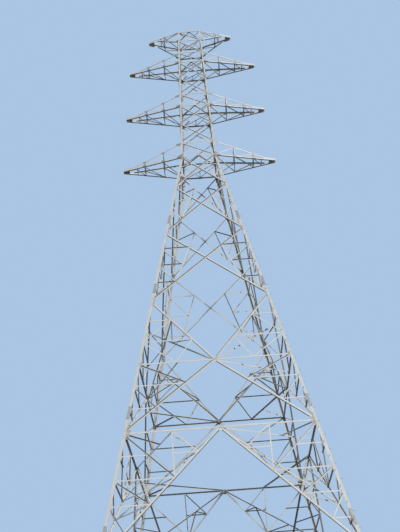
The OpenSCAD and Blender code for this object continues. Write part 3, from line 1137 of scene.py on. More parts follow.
@dataclass
class StepBolts:
    """The climbing pegs on one leg, in turn on its two flanges."""

    finishes: Finishes
    first: float = 1.6
    pitch: float = 0.2
    below_top: float = 0.3
    flange_share: float = 0.62
    length: float = 0.066
    radius: float = 0.005
    head_r: float = 0.0095
    head_t: float = 0.004
    root_r: float = 0.0105
    root_h: float = 0.006

    def peg(self) -> Shape:
        """One peg along Z: a round bar with a hexagon at its root and a flat head."""
        sunk, head = -0.001, self.length - self.head_t
        return joined([
            lathe([(self.root_r, sunk), (self.root_r, self.root_h)], 6),
            lathe([(self.radius, self.root_h - 0.002), (self.radius, self.length)], 8),
            lathe([(self.head_r, head), (self.head_r, self.length)], 12),
        ])

    def build(self) -> None:
        """Makes the pegs up the whole of the right front leg."""
        piece = Piece("step_bolts", self.finishes.bolts)
        s, peg, up = SIZES, self.peg(), Vector((0, 0, 1))
        last = s.waist + s.top - self.below_top
        for i in range(math.ceil((last - self.first) / self.pitch)):
            z = self.first + i * self.pitch
            half = s.half(z)
            inward = self.flange_share * (s.leg_b if z < s.waist else s.mast_b)
            if i % 2:
                place = frame_on(Vector((half - inward, -half, z)), Vector((0, -1, 0)), up)
            else:
                place = frame_on(Vector((half, -half + inward, z)), Vector((1, 0, 0)), up)
            piece.add(peg, place)
        piece.hand_over()


# Joint plates at the legs: distance inwards from the leg's corner and height over the joint

TIE_PLATE = PlateKind(
    ((0.018, -0.15), (0.08, -0.17), (0.15, -0.13), (0.18, -0.03), (0.18, 0.03), (0.16, 0.13),
     (0.10, 0.16), (0.018, 0.14)),
    ((0.028, -0.13), (0.028, -0.07), (0.028, 0.06), (0.028, 0.12), (0.056, -0.10),
     (0.056, 0.09)))
CROSSING_PLATE = PlateKind(
    ((0.018, -0.13), (0.075, -0.15), (0.125, -0.11), (0.10, 0.0), (0.125, 0.11), (0.075, 0.15),
     (0.018, 0.13)),
    ((0.036, -0.12), (0.036, -0.05), (0.036, 0.05), (0.036, 0.12)))
MIDDLE_TIE_PLATE = PlateKind(
    ((0.018, -0.06), (0.10, -0.06), (0.16, -0.025), (0.16, 0.03), (0.10, 0.07), (0.018, 0.07)),
    ((0.038, -0.03), (0.038, 0.04)))
FOOT_PLATE = PlateKind(
    ((0.018, 0.02), (0.13, 0.0), (0.17, 0.09), (0.12, 0.19), (0.018, 0.17)))
MAST_TIE_PLATE = PlateKind(
    ((0.014, -0.075), (0.085, -0.085), (0.135, -0.045), (0.125, 0.03), (0.085, 0.085),
     (0.014, 0.08)),
    ((0.030, -0.055), (0.030, -0.02), (0.030, 0.02), (0.030, 0.055)), M12)
MAST_CROSSING_PLATE = PlateKind(
    ((0.014, -0.06), (0.075, -0.075), (0.105, 0.0), (0.075, 0.075), (0.014, 0.06)),
    ((0.030, -0.035), (0.030, 0.035)), M12)


@dataclass
class FaceJoints:
    """The joint plates behind the braces of one face, with the bolts in their rows."""

    piece: Piece
    plane: FacePlane
    thickness: float = 0.005
    gap: float = 0.0008
    first_share: float = 0.8
    brace_row: Span = (0.026, 0.040)
    tie_row: Span = (0.030, 0.024)

    @property
    def grip(self) -> float:
        """Thickness of a brace and the plate behind it."""
        return SIZES.main_t + self.gap + self.thickness

    def plate(self, side: int, z: float, kind: PlateKind) -> None:
        """Adds a plate behind the braces at a leg, with bolts through the leg's flange.

        Args:
            side: -1 for the left leg and 1 for the right one.
            z: height of the joint above the foot of this body.
            kind: the plate.
        """
        plane = self.plane
        corners = [plane.local(plane.on_leg(side, z + v, u)) for u, v in kind.outline]
        outline = [(p.x, p.y) for p in corners][::side]
        self.piece.add(prism(outline, -self.grip, self.thickness - self.grip), plane.matrix)
        for u, v in kind.bolts:
            at = plane.local(plane.on_leg(side, z + v, u), plane.leg_out)
            self.piece.bolt(kind.size, plane.matrix, at, plane.leg_out + self.grip)

    def row(self, start: Point, towards: Point, count: int, size: BoltSize,
            pitch: float = 0.036, first: float | None = None) -> None:
        """Adds a row of bolts along a brace near its end.

        Args:
            start: the point that the brace points at.
            towards: the brace's other end.
            count: number of bolts.
            size: the bolts' size.
            pitch: distance between them.
            first: distance of the first bolt from the start, where that isn't a leg.
        """
        if first is None:
            trim = self.plane.trim(start, towards, SIZES.main_b)
            first = trim + self.first_share * size.across
        a, b = self.plane.local(start), self.plane.local(towards)
        way = (b - a).normalized()
        for i in range(count):
            self.piece.bolt(size, self.plane.matrix, a + way * (first + i * pitch), self.grip)

    def leg(self, side: int, z: float) -> Point:
        """The corner of a leg at a height above the foot of this body."""
        return self.plane.on_leg(side, z, 0.0)

    def lower_leg(self, side: int, close: float = 0.030) -> None:
        """Adds the joints of one lower leg.

        Args:
            side: -1 for the left leg and 1 for the right one.
            close: the pitch of the closer rows.
        """
        s, foot = SIZES, SIZES.plate_t + SIZES.rib_h
        centre = (0.0, s.middle_tie)
        for kind, levels in ((TIE_PLATE, (s.low_tie, s.main_tie)),
                             (CROSSING_PLATE, (s.x3, s.x2, s.x1)),
                             (MIDDLE_TIE_PLATE, (s.middle_tie,)), (FOOT_PLATE, (foot,))):
            for z in levels:
                self.plate(side, z, kind)
        for z, far in ((s.low_tie, (0.0, s.main_tie)), (s.main_tie, centre),
                       (foot, (0.0, s.low_tie))):
            self.row(self.leg(side, z), far, 2, M24)
        for z in (s.low_tie, s.main_tie):
            self.row(self.leg(side, z), self.leg(-side, z), 3, M20)
        self.row(self.leg(side, s.middle_tie), centre, 2, M20, close)
        self.row(self.leg(side, s.x3), centre, 2, M24, close)
        for low, high in ((s.x3, s.x2), (s.x2, s.x1), (s.x1, s.waist)):
            self.row(self.leg(side, low), self.leg(-side, high), 1, M24)
            self.row(self.leg(side, high), self.leg(-side, low), 2, M24, close)

    def upper_leg(self, side: int, close: float = 0.022) -> None:
        """Adds the joints of one upper leg.

        Args:
            side: -1 for the left leg and 1 for the right one.
            close: the pitch of the rows.
        """
        levels = SIZES.upper_levels
        for h in levels[1:-1]:
            self.plate(side, h, MAST_TIE_PLATE)
            self.row(self.leg(side, h), (0.0, h), 2, M12, close)
        for i in (1, 3):
            self.plate(side, (levels[i] + levels[i + 1]) / 2, MAST_CROSSING_PLATE)

    def middles(self) -> None:
        """Adds the bolts of the joints in the middle of the ties, with pitch and first place."""
        s = SIZES
        for z, ends in ((s.middle_tie, (s.x3, s.main_tie)), (s.main_tie, (s.low_tie,)),
                        (s.low_tie, (s.plate_t + s.rib_h,))):
            for side in (-1, 1):
                for end in ends:
                    self.row((0.0, z), self.leg(side, end), 2, M24, *self.brace_row)
                self.row((0.0, z), self.leg(side, z), 2, M20, *self.tie_row)


@dataclass
class JointPlates:
    """The joint plates of all faces."""

    finishes: Finishes

    def build(self) -> None:
        """Makes one piece of plates and bolts for each face of each body."""
        for upper in (False, True):
            body = "upper" if upper else "lower"
            for k, name in enumerate(FACE_NAMES):
                piece = Piece(f"{name}_{body}_joint_plates", self.finishes.fittings)
                joints = FaceJoints(piece, FacePlane(k, upper))
                for side in (-1, 1):
                    (joints.upper_leg if upper else joints.lower_leg)(side)
                if not upper:
                    joints.middles()
                piece.hand_over()


@dataclass
class LegSplices:
    """The cover plates where lengths of leg angle meet, inside and outside, with bolts."""

    finishes: Finishes
    thickness: float = 0.006
    lower_levels: tuple[float, ...] = (5.45, 8.62, 12.95, 16.05)
    upper_levels: tuple[float, ...] = (1.80, 4.60)
    lower_half_l: float = 0.19
    upper_half_l: float = 0.13
    under_waist: Span = (-0.17, -0.002)
    over_waist: Span = (0.004, 0.15)
    heel_gap: float = 0.003
    fillet_gap: float = 0.001
    toe_gaps: Span = (0.004, 0.006)
    bolt_pitch: float = 0.075
    bolt_lines: Span = (0.36, 0.74)

    def cover(self, piece: Piece, plane: FacePlane, side: int, low: float, high: float) -> None:
        """Adds the plates and bolts on one flange of a leg.

        Args:
            piece: the piece that takes them.
            plane: the face's plane.
            side: -1 for the left leg and 1 for the right one.
            low: height of the plate's lower end above the foot of this body.
            high: height of its upper end.
        """
        b, t = plane.leg_b, self.thickness
        outside = (self.heel_gap, b - self.toe_gaps[0], plane.leg_out)
        inside = (plane.leg_t + t + self.fillet_gap, b - self.toe_gaps[1], SIZES.seat - t)
        for heel, toe, base in (outside, inside):
            corners = [(heel, low), (toe, low), (toe, high), (heel, high)]
            flat = [plane.local(plane.on_leg(side, v, u)) for u, v in corners]
            piece.add(prism([(p.x, p.y) for p in flat][::side], base, base + t), plane.matrix)
        rows = max(2, round((high - low) / self.bolt_pitch))
        for i in range(rows):
            v = low + (i + 0.5) * (high - low) / rows
            for j, share in enumerate(self.bolt_lines):
                if (i + j) % 2 == 0 or rows < 3:
                    at = plane.local(plane.on_leg(side, v, share * b), plane.leg_out + t)
                    piece.bolt(M20, plane.matrix, at, plane.leg_out + 2 * t)

    def build(self) -> None:
        """Makes one piece for each leg."""
        lower = [(z - self.lower_half_l, z + self.lower_half_l) for z in self.lower_levels]
        lower.append(tuple(SIZES.waist + z for z in self.under_waist))
        upper = [self.over_waist]
        upper += [(z - self.upper_half_l, z + self.upper_half_l) for z in self.upper_levels]
        for k, name in enumerate(CORNER_NAMES):
            piece = Piece(f"{name}_leg_splices", self.finishes.fittings)
            for face, side in ((k, 1), ((k + 1) % 4, -1)):
                for plane, spans in ((FacePlane(face), lower), (FacePlane(face, True), upper)):
                    for low, high in spans:
                        self.cover(piece, plane, side, low, high)
            piece.hand_over()


@dataclass(frozen=True)
class HipPanel:
    """A wide panel that is braced inside: where its middle joint and its braces' ends lie."""

    name: str
    centre: float
    end: float
    far: float
    webs: tuple[Span, ...]
    across: bool = True

    def node(self, k: int, side: int, share: float, depth: float) -> Vector:
        """A point inside a main brace.

        Args:
            k: the face.
            side: -1 for its left brace and 1 for its right one.
            share: share of the way from the middle joint to the leg.
            depth: distance inwards from the brace's outer side.

        Returns:
            The point.
        """
        plane = FacePlane(k % 4)
        return plane.world(between((0.0, self.centre), plane.on_leg(side, self.end, 0.0), share),
                           -depth)


@dataclass
class HipBracing:
    """The bracing inside the wide panels: from the middle of each tie to the main braces of
    the two neighbouring faces, with light bars back to the face's own braces."""

    finishes: Finishes
    bolt_inset: float = 0.018
    behind: float = 0.004
    main_from: float = 0.04
    passing: float = 0.004
    start_trim: float = 0.05
    end_trim: float = 0.02
    near_depth: float = 0.012
    far_depth: float = 0.030
    across_depth: float = 0.016
    tab_gap: float = 0.0003
    tab_t: float = 0.0045
    tab_outline: tuple[Point, ...] = ((-0.6, -0.5), (0.7, -0.5), (1.2, -0.2), (1.2, 0.25),
                                      (0.7, 0.55), (-0.6, 0.55))
    tab_sizes: Span = (0.075, 0.05)
    tab_setback: float = 0.06
    narrower: Span = (0.005, 0.004)
    facing: tuple[float, float, float] = (0.7, -0.7, 0.1)

    def bar(self, piece: Piece, a: Vector, b: Vector, out: Vector, width: float,
            thickness: float, trims: Span) -> None:
        """Adds a bar with a bolt at each end.

        Args:
            piece: the piece that takes it.
            a: one end.
            b: the other end.
            out: the way its plate faces.
            width: its flange width.
            thickness: its thickness.
            trims: how much shorter it is at its two ends.
        """
        way = (b - a).normalized()
        a, b = a + way * trims[0], b - way * trims[1]
        place = bar_frame(a, b, out)
        length = (b - a).length
        edge = 1 if place.col[1].z > 0 else -1
        piece.add(angle_bar(length, width, thickness, edge), place)
        size = M20 if width > self.main_from else M12
        for x in (self.bolt_inset, length - self.bolt_inset):
            piece.bolt(size, place, Vector((x, 0.0, 0.0)), thickness + self.behind)

    def tab(self, piece: Piece, at: Vector, way: Vector, out: Vector, size: float) -> None:
        """Adds a small connecting plate under the end of a bar.

        Args:
            piece: the piece that takes it.
            at: the end of the bar.
            way: the way the plate reaches.
            out: the way it faces.
            size: its rough size.
        """
        top = -SIZES.main_t - self.tab_gap
        outline = [(u * size, v * size) for u, v in self.tab_outline]
        piece.add(prism(outline, top - self.tab_t, top), bar_frame(at, at + way, out))

    def corner(self, piece: Piece, panel: HipPanel, k: int, side: int) -> None:
        """Adds the bars that lead from the middle of one face to one of its neighbours.

        Args:
            piece: the piece that takes them.
            panel: the panel.
            k: the face.
            side: -1 towards its left neighbour and 1 towards its right one.
        """
        s = SIZES
        x, y, z = self.facing
        out = Matrix.Rotation(math.radians(90 * k), 3, "Z") @ Vector((side * x, y, z))
        lift = out * (self.passing * side)
        start = FacePlane(k).world((0.0, panel.centre), -s.main_b - self.near_depth) + lift
        stop = panel.node(k + side, -side, panel.far, self.far_depth) + lift
        self.bar(piece, start, stop, out, s.main_b - self.narrower[0], s.main_t,
                 (self.start_trim, 0.0))
        way = (stop - start).normalized()
        self.tab(piece, start + way * self.tab_setback, -way, out, self.tab_sizes[0])
        self.tab(piece, stop, way, out, self.tab_sizes[1])
        for along, share in panel.webs:
            own = panel.node(k, side, share, self.near_depth)
            self.bar(piece, own, start.lerp(stop, along), out, s.web_b - self.narrower[1],
                     s.web_t, (self.end_trim, 0.0))

    def build(self) -> None:
        """Makes the bracing under the low and main ties and over the middle ties."""
        s = SIZES
        panels = (
            HipPanel("main", s.main_tie, s.low_tie, 3 / 5,
                     ((1 / 3, 1 / 5), (1 / 3, 2 / 5), (2 / 3, 2 / 5))),
            HipPanel("middle", s.middle_tie, s.x3, 2 / 3, ((0.65, 1 / 3), (0.65, 2 / 3)), False),
            HipPanel("foot", s.low_tie, s.plate_t + s.rib_h, 3 / 6,
                     ((1 / 3, 1 / 6), (1 / 3, 2 / 6), (2 / 3, 2 / 6))))
        for panel in panels:
            piece = Piece(f"{panel.name}_hip_bracing", self.finishes.bracing, Slot.BRACING)
            for k in range(4):
                for side in (-1, 1):
                    self.corner(piece, panel, k, side)
                if panel.across:
                    a, b = (panel.node(k + i, 1 - 2 * i, panel.far, self.across_depth)
                            for i in (0, 1))
                    out = Matrix.Rotation(math.radians(90 * k), 3, "Z") @ Vector((1, -1, 0))
                    self.bar(piece, a, b, out, s.web_b, s.web_t, (self.end_trim, self.end_trim))
            piece.hand_over()


@dataclass(frozen=True)
class ArmSide:
    """One upright side of a crossarm: X runs along the bottom chord, Y up and Z outwards."""

    tier: int
    right: bool
    back: bool
    root_inset: float = 0.002

    @property
    def peak(self) -> bool:
        """Whether it is an earth wire arm, whose level chords are its upper ones."""
        return self.tier == len(ARM_NAMES) - 1

    @property
    def tip_foot(self) -> float:
        """Height of the tip's underside above the waist."""
        return self.foot - SIZES.tip_h if self.peak else self.foot

    @property
    def reach(self) -> float:
        """Reach of the arm from the middle of the body."""
        return SIZES.reaches[self.tier]

    @property
    def root_h(self) -> float:
        """Height of the arm at the body."""
        return SIZES.arm_heights[self.tier]

    @property
    def foot(self) -> float:
        """Height above the waist at which the level chords' side of the arm lies."""
        return SIZES.top if self.peak else SIZES.upper_levels[2 * self.tier]

    @property
    def root_half(self) -> float:
        """Half the arm's width at the body."""
        high = self.foot if self.peak else self.foot + self.root_h
        return SIZES.half(SIZES.waist + high) - self.root_inset

    @property
    def start(self) -> float:
        """Where the side starts, inside the body."""
        return self.root_half - 2 * SIZES.chord_b

    @property
    def yaw(self) -> float:
        """Angle between the side and the arm's middle line."""
        return math.atan2(self.root_half - SIZES.tip_w / 2, self.reach - self.start)

    def along(self, x: float) -> float:
        """Distance along the side of a place x from the middle of the body."""
        return (x - self.start) / math.cos(self.yaw)

    @property
    def stations(self) -> list[float]:
        """Places of the posts from the middle of the body."""
        posts, last = (1, SIZES.peak_post) if self.peak else (2, SIZES.outer_post)
        way = self.reach - last - self.root_half
        return [self.root_half + way * i / posts for i in range(1, posts + 1)]

    def top_at(self, u: float) -> float:
        """Height of the sloping chord's middle line at a distance along the side."""
        face, box = self.along(self.root_half), self.along(self.reach - SIZES.tip_plate_l)
        drop = (self.root_h - SIZES.tip_h) * (u - face) / (box - face)
        return self.root_h - SIZES.chord_b / 2 - drop

    @property
    def matrix(self) -> Matrix:
        """Frame of the side, mirrored for the back, for the left and for the top arms."""
        m = (Matrix.Translation((self.start, -self.root_half, 0))
             @ Matrix.Rotation(self.yaw, 4, "Z") @ Matrix.Rotation(math.pi / 2, 4, "X"))
        if self.back:
            m = Matrix.Scale(-1, 4, (0, 1, 0)) @ m
        if self.peak:
            m = Matrix.Scale(-1, 4, (0, 0, 1)) @ m
        m = Matrix.Translation((0, 0, SIZES.waist + self.foot)) @ m
        if not self.right:
            m = Matrix.Rotation(math.pi, 4, "Z") @ m
        return m


# Plates on a crossarm's sides, counted from the chord's middle line at the joint

LOW_ROOT_PLATE = PlateKind(
    ((0.0, -0.022), (0.15, -0.022), (0.175, 0.02), (0.10, 0.095), (0.0, 0.105)),
    ((0.025, 0.0), (0.065, 0.0), (0.105, 0.0), (0.045, 0.062)))
HIGH_ROOT_PLATE = PlateKind(
    ((0.0, -0.105), (0.10, -0.095), (0.175, -0.02), (0.15, 0.022), (0.0, 0.022)),
    ((0.025, 0.0), (0.065, -0.010), (0.105, -0.018), (0.045, -0.062)))
LOW_POST_PLATE = PlateKind(
    ((-0.085, -0.017), (0.055, -0.017), (0.045, 0.037), (0.018, 0.073), (-0.045, 0.063),
     (-0.085, 0.025)),
    ((-0.055, 0.0), (0.035, 0.0), (0.0, 0.045)))
HIGH_POST_PLATE = PlateKind(
    ((-0.075, -0.035), (-0.045, -0.085), (0.02, -0.085), (0.05, -0.02), (0.045, 0.004),
     (-0.07, 0.022)),
    ((-0.04, -0.004), (0.03, -0.006), (0.0, -0.062)))


@dataclass
class ArmFittings:
    """The root plates, joint plates and bolts of one arm, with its root cleats."""

    finishes: Finishes
    tier: int
    right: bool
    plate_t: float = 0.004
    face_gap: float = 0.012
    lift: float = 0.0004
    box_bolts: int = 5
    box_first: float = 0.35
    box_edge: float = 0.026
    cover_bolts: int = 3
    cover_first: float = 0.075
    cover_pitch: float = 0.058
    cover_edge: float = 0.021
    cleat_from_level: float = 0.05
    cleat_inset: float = 0.040
    cleat_half_w: float = 0.034
    cleat_half_h: float = 0.05
    cleat_t: float = 0.005
    cleat_gap: float = 0.0003
    cleat_bolt: float = 0.026

    @property
    def sign(self) -> int:
        """The side of the body: 1 for a right arm and -1 for a left one."""
        return 1 if self.right else -1

    def plate(self, piece: Piece, arm: ArmSide, at: Point, kind: PlateKind) -> None:
        """Adds a plate and its bolts on one side of the arm.

        Args:
            piece: the piece that takes them.
            arm: the side.
            at: the joint, along the side and over the level chord's outer edge.
            kind: the plate.
        """
        outline = [(at[0] + u, at[1] + v) for u, v in kind.outline]
        piece.add(prism(outline, self.lift, self.lift + self.plate_t), arm.matrix)
        for u, v in kind.bolts:
            place = Vector((at[0] + u, at[1] + v, self.lift + self.plate_t))
            piece.bolt(kind.size, arm.matrix, place, SIZES.chord_t + self.plate_t)

    def side(self, piece: Piece, arm: ArmSide) -> None:
        """Adds the plates and bolts of one side of the arm.

        Args:
            piece: the piece that takes them.
            arm: the side.
        """
        s, low = SIZES, SIZES.chord_b / 2
        face = arm.along(s.half(s.waist + arm.foot)) + self.face_gap
        self.plate(piece, arm, (face, low), LOW_ROOT_PLATE)
        self.plate(piece, arm, (face, arm.top_at(face)), HIGH_ROOT_PLATE)
        for u in map(arm.along, arm.stations):
            self.plate(piece, arm, (u, low), LOW_POST_PLATE)
            self.plate(piece, arm, (u, arm.top_at(u)), HIGH_POST_PLATE)
        box, end = arm.along(arm.reach - s.tip_plate_l), arm.along(arm.reach)
        for i in range(self.box_bolts):
            u = box + (i + self.box_first) * (end - box) / self.box_bolts
            for v in (low, s.tip_h - self.box_edge):
                piece.bolt(M20, arm.matrix, Vector((u, v, 0.0)), s.chord_t)

    def tip(self, piece: Piece, arm: ArmSide) -> None:
        """Adds the bolts in the cover plates over and under the tip.

        Args:
            piece: the piece that takes them.
            arm: one side of the arm.
        """
        s = SIZES
        base = s.waist + arm.tip_foot
        for i in range(self.cover_bolts):
            x = arm.reach - self.cover_first - i * self.cover_pitch
            half = arm.root_half - (x - arm.start) * math.tan(arm.yaw) - self.cover_edge
            for y in (-half, half):
                for z, out in ((base + self.lift, -1.0), (base + s.tip_h - self.lift, 1.0)):
                    place = frame_on(Vector((self.sign * x, y, z)), Vector((0, 0, out)),
                                     Vector((1, 0, 0)))
                    piece.bolt(M12, place, Vector(), self.plate_t)

    def cleats(self, piece: Piece, arm: ArmSide) -> None:
        """Adds the plates that hold the chords' roots to the body's legs.

        Args:
            piece: the piece that takes them.
            arm: one side of the arm.
        """
        s, w, h = SIZES, self.cleat_half_w, self.cleat_half_h
        low = arm.foot - (arm.root_h if arm.peak else 0.0)
        for level, up in ((low, 1), (low + arm.root_h, -1)):
            z = s.waist + level + up * self.cleat_from_level
            half = s.half(z)
            for back in (-1, 1):
                at = Vector((self.sign * (half + self.cleat_gap),
                             back * (half - self.cleat_inset), z))
                place = frame_on(at, Vector((self.sign, 0, 0)), Vector((0, 0, 1)))
                piece.add(prism([(-w, -h), (w, -h), (w, h), (-w, h)], 0.0, self.cleat_t), place)
                for y in (-self.cleat_bolt, self.cleat_bolt):
                    piece.bolt(M20, place, Vector((0.0, y, self.cleat_t)),
                               s.mast_t + self.cleat_t + 0.001)

    def build(self) -> None:
        """Makes one piece for the arm."""
        name = f"{'right' if self.right else 'left'}_{ARM_NAMES[self.tier]}"
        piece = Piece(f"{name}_fittings", self.finishes.fittings)
        front, back = (ArmSide(self.tier, self.right, back) for back in (False, True))
        for arm in (front, back):
            self.side(piece, arm)
        self.tip(piece, front)
        self.cleats(piece, front)
        piece.hand_over()


@dataclass
class Shackles:
    """The bow shackle in every attachment plate and the welds that hold the plates."""

    finishes: Finishes
    rod_r: float = 0.0075
    pin_r: float = 0.0090
    inside: float = 0.026
    drop: float = 0.058
    eye_r: float = 0.0165
    eye_flat_r: float = 0.010
    eye_half_t: float = 0.0075
    head_r: float = 0.016
    head_flat_r: float = 0.0135
    head_h: float = 0.011
    nut_h: float = 0.014
    chamfer: float = 0.002
    over_pin: float = 0.004
    lean: float = 5.0
    lug_w: float = 0.064
    bead: float = 0.006

    def bow(self, gap: float) -> Shape:
        """The bent rod, from eye to eye.

        Args:
            gap: half the distance between its straight legs.

        Returns:
            Its vertices and faces.
        """
        straight = self.drop - gap
        heights = (self.over_pin, -0.5 * straight, -straight)
        line = [Vector((-gap, 0.0, z)) for z in heights]
        line += [Vector((-gap * math.cos(a), 0.0, -straight - gap * math.sin(a)))
                 for a in np.linspace(0.0, math.pi, 13)[1:-1]]
        line += [Vector((gap, 0.0, z)) for z in reversed(heights)]
        return tube(line, self.rod_r, 12)

    def shackle(self) -> Shape:
        """One shackle with its pin along X at the origin, its bow hanging down.

        Returns:
            Its vertices and faces.
        """
        gap = self.inside / 2 + self.rod_r
        end, half = gap + self.rod_r, self.eye_half_t
        turn = Matrix.Rotation(math.pi / 2, 4, "Y")
        eye = lathe([(self.eye_flat_r, 0.0015 - half), (self.eye_r, -half), (self.eye_r, half),
                     (self.eye_flat_r, half - 0.0015)], 20)
        rod = lathe([(self.pin_r, -end - 0.020), (self.pin_r, end + 0.004)], 16)
        nuts = [lathe([(self.head_flat_r, foot), (self.head_r, foot + low),
                       (self.head_r, foot + height - high), (self.head_flat_r, foot + height)], 6)
                for foot, height, low, high in (
                    (end, self.head_h, self.chamfer, self.chamfer),
                    (-end - self.nut_h, self.nut_h, self.chamfer, self.chamfer / 2))]
        mark = lathe([(0.0008, -end - 0.017), (0.0018, -end - 0.0165)], 6)
        pin = joined([rod, *nuts, mark])
        eyes = [placed(eye, Matrix.Translation((x, 0, 0)) @ turn) for x in (-gap, gap)]
        return joined([self.bow(gap), *eyes, placed(pin, turn)])

    def build(self) -> None:
        """Makes the eight shackles as one piece, and the plates' welds as another."""
        s = SIZES
        hung = Piece("shackles", self.finishes.shackles)
        welds = Piece("attachment_plate_welds", self.finishes.fittings)
        shape, bead = self.shackle(), weld(self.lug_w, self.bead)
        beside = (Matrix.Translation((s.lug_t / 2, -self.lug_w / 2, -s.seat))
                  @ Matrix.Rotation(math.pi / 2, 4, "Z") @ Matrix.Rotation(-math.pi / 2, 4, "X")
                  @ Matrix.Scale(-1, 4, (0, 1, 0)) @ Matrix.Rotation(math.pi / 2, 4, "X")
                  @ Matrix.Scale(-1, 4, (0, 0, 1)))
        for tier, reach in enumerate(s.reaches):
            foot = ArmSide(tier, True, False).tip_foot
            for sign in (-1, 1):
                tip = Matrix.Translation((sign * (reach - s.chord_b), 0, s.waist + foot))
                lean = Matrix.Rotation(math.radians(self.lean * sign), 4, "X")
                hung.add(shape, tip @ Matrix.Translation((0, 0, -s.lug_h / 2)) @ lean)
                for turn in (0, math.pi):
                    welds.add(bead, tip @ Matrix.Rotation(turn, 4, "Z") @ beside)
        hung.hand_over()
        welds.hand_over()


@dataclass
class FootFittings:
    """The anchor bolts of the feet and the welds between plates, ribs and legs."""

    finishes: Finishes
    rod_r: float = 0.0118
    rod_over: float = 0.056
    washer_r: float = 0.027
    washer_t: float = 0.005
    nut_r: float = 0.0208
    nut_flat_r: float = 0.0185
    nut_h: float = 0.020
    lock_nut_h: float = 0.013
    lock_nut_turn: float = 0.35
    chamfer: float = 0.0015
    rib_bead: float = 0.006
    leg_bead: float = 0.007

    def nut(self, foot: float, height: float, turn: float = 0.0) -> Shape:
        """A hexagon nut.

        Args:
            foot: height of its underside.
            height: its height.
            turn: angle of its first corner, in radians.

        Returns:
            Its vertices and faces.
        """
        flat, r, c = self.nut_flat_r, self.nut_r, self.chamfer
        return lathe([(flat, foot), (r, foot + c), (r, foot + height - c), (flat, foot + height)],
                     6, turn)

    def anchor(self) -> Shape:
        """One anchor bolt end with its washer and two nuts, its foot at z = 0.

        Returns:
            Its vertices and faces.
        """
        top, r, over = SIZES.plate_t, self.rod_r, SIZES.plate_t + self.rod_over
        seat = top + self.washer_t
        lock = seat + self.nut_h + 0.0005
        return joined([
            lathe([(r, 0.0006), (r, over), (r - 0.0016, over + 0.004)], 20),
            lathe([(self.washer_r, top), (self.washer_r, seat - 0.001),
                   (self.washer_r - 0.0008, seat)], 28),
            self.nut(seat, self.nut_h),
            self.nut(lock, self.lock_nut_h, self.lock_nut_turn),
        ])

    def build(self) -> None:
        """Makes the anchor bolts as one piece and the welds as another."""
        s = SIZES
        bolts = Piece("anchor_bolts", self.finishes.bolts, Slot.FEET)
        welds = Piece("foot_welds", self.finishes.feet, Slot.FEET)
        anchor, rib_bead = self.anchor(), weld(s.rib_l, self.rib_bead)
        leg_bead = weld(s.leg_b, self.leg_bead)
        middle, step = s.base_w / 2 - s.plate_inset, s.anchor_spacing / 2
        heel, rib_x = s.base_w / 2 - s.low_slope * s.plate_t, s.base_w / 2 - s.leg_b / 2
        flip_y = Matrix.Scale(-1, 4, (0, 1, 0))
        inwards = Matrix.Rotation(-math.pi / 2, 4, "Z")
        swap_xy = Matrix(((0, -1, 0, 0), (-1, 0, 0, 0), (0, 0, 1, 0), (0, 0, 0, 1)))
        for k in range(4):
            turn = Matrix.Rotation(math.radians(90 * k), 4, "Z")
            for x in (-step, step):
                for y in (-step, step):
                    bolts.add(anchor, turn @ Matrix.Translation((middle + x, -middle + y, 0)))
            for place in (turn, turn @ swap_xy):
                for side, bead in ((-1, inwards @ flip_y), (1, inwards)):
                    edge = Matrix.Translation((rib_x + side * s.rib_t / 2, -heel, s.plate_t))
                    welds.add(rib_bead, place @ edge @ bead)
                run = Matrix.Translation((heel - s.leg_b, -heel, s.plate_t + s.seat))
                welds.add(leg_bead, place @ run @ flip_y)
        bolts.hand_over()
        welds.hand_over()


# Stage


@dataclass(frozen=True)
class Sun:
    """A broad distant lamp: its direction, strength, apparent size in degrees and colour."""

    name: str
    towards: tuple[float, float, float]
    strength: float
    angle: float
    colour: Colour = (0.93, 0.96, 1.0)

    def build(self) -> None:
        """Makes the lamp."""
        data = bpy.data.lights.new(self.name, "SUN")
        data.energy = self.strength
        data.angle = math.radians(self.angle)
        data.color = self.colour
        lamp = bpy.data.objects.new(self.name, data)
        lamp.rotation_mode = "QUATERNION"
        lamp.rotation_quaternion = Vector(self.towards).to_track_quat("-Z", "Y")
        bpy.context.scene.collection.objects.link(lamp)


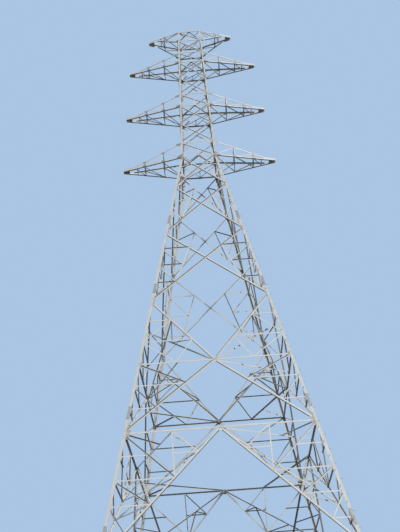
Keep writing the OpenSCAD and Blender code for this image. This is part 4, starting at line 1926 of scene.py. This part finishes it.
@dataclass(frozen=True)
class Studio:
    """The pale floor and background, and the soft light."""

    floor_colour: Colour = (0.80, 0.82, 0.84)
    floor_r: float = 90.0
    floor_sides: int = 96
    back_colour: Colour = (0.40, 0.56, 0.77)
    light_colour: Colour = (0.86, 0.92, 1.0)
    light_strength: float = 0.11
    suns: tuple[Sun, ...] = (
        Sun("key", (-0.38, 0.80, -0.52), 3.1, 4.0, (1.0, 0.975, 0.93)),
        Sun("fill", (0.7, 0.35, -0.25), 0.20, 40.0),
        Sun("back", (0.40, -0.78, -0.48), 1.1, 30.0))

    def floor(self) -> None:
        """Makes the floor."""
        turns = [2 * math.pi * i / self.floor_sides for i in range(self.floor_sides)]
        verts = [(self.floor_r * math.cos(a), self.floor_r * math.sin(a), 0.0) for a in turns]
        mesh = bpy.data.meshes.new("floor")
        mesh.from_pydata(verts, [], [tuple(range(self.floor_sides))])
        mesh.materials.append(PlainStageFinish("pale_floor", self.floor_colour).material())
        floor = bpy.data.objects.new("floor", mesh)
        bpy.context.scene.collection.objects.link(floor)
        floor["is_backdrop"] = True

    def world(self) -> None:
        """Makes the world: a soft light, and a pale background for the camera and for gloss."""
        world = bpy.data.worlds.new("studio")
        bpy.context.scene.world = world
        t = ShaderTree(world)
        cast, shown = (t.node("ShaderNodeBackground", inputs={
            "Color": rgba(colour), "Strength": strength}, output="Background")
            for colour, strength in ((self.light_colour, self.light_strength),
                                     (self.back_colour, 1.0)))
        t.node("ShaderNodeOutputWorld", inputs={"Surface": t.shown_or_cast(cast, shown)})

    def build(self) -> None:
        """Makes the floor, the world and the lamps."""
        self.floor()
        self.world()
        for sun in self.suns:
            sun.build()


@dataclass(frozen=True)
class PhotoCamera:
    """The photograph's viewpoint, solved from the tower's own lines."""

    position: tuple[float, float, float] = (-0.095, -19.27, 0.80)
    yaw: float = -0.4457
    pitch: float = 36.17
    roll: float = -4.053
    focal_px: float = 703.2
    frame_w: int = 400
    frame_h: int = 532
    clip: Span = (0.1, 400.0)

    def build(self) -> None:
        """Makes the camera and hands it to the scene."""
        a, b, c = (math.radians(v) for v in (self.yaw, self.pitch, self.roll))
        forward = Vector((math.sin(a) * math.cos(b), math.cos(a) * math.cos(b), math.sin(b)))
        right = Vector((math.cos(a), -math.sin(a), 0.0))
        up = right.cross(forward)
        right, up = (math.cos(c) * right + math.sin(c) * up,
                     -math.sin(c) * right + math.cos(c) * up)
        data = bpy.data.cameras.new("photo_view")
        data.lens = self.focal_px * data.sensor_width / max(self.frame_w, self.frame_h)
        data.clip_start, data.clip_end = self.clip
        camera = bpy.data.objects.new("photo_view", data)
        camera.matrix_world = Matrix((right, up, -forward)).transposed().to_4x4()
        camera.location = self.position
        bpy.context.scene.collection.objects.link(camera)
        bpy.context.scene.camera = camera


def main(frame: dict, cad_box: tuple[Vector, Vector]) -> None:
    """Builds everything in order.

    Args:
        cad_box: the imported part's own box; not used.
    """
    finishes = Finishes.make()
    FrameDresser(frame, finishes).dress()
    for upper in (False, True):
        FaceBolts(finishes, upper).build()
    JointPlates(finishes).build()
    LegSplices(finishes).build()
    HipBracing(finishes).build()
    for tier in range(len(ARM_NAMES)):
        for right in (True, False):
            ArmFittings(finishes, tier, right).build()
    Shackles(finishes).build()
    FootFittings(finishes).build()
    StepBolts(finishes).build()
    Studio().build()
    PhotoCamera().build()
    bpy.context.scene.view_settings.view_transform = "Standard"


if __name__ == "__main__":
    logging.basicConfig(level=logging.INFO, format="%(name)s: %(message)s")
    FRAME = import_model()
    main(FRAME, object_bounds())
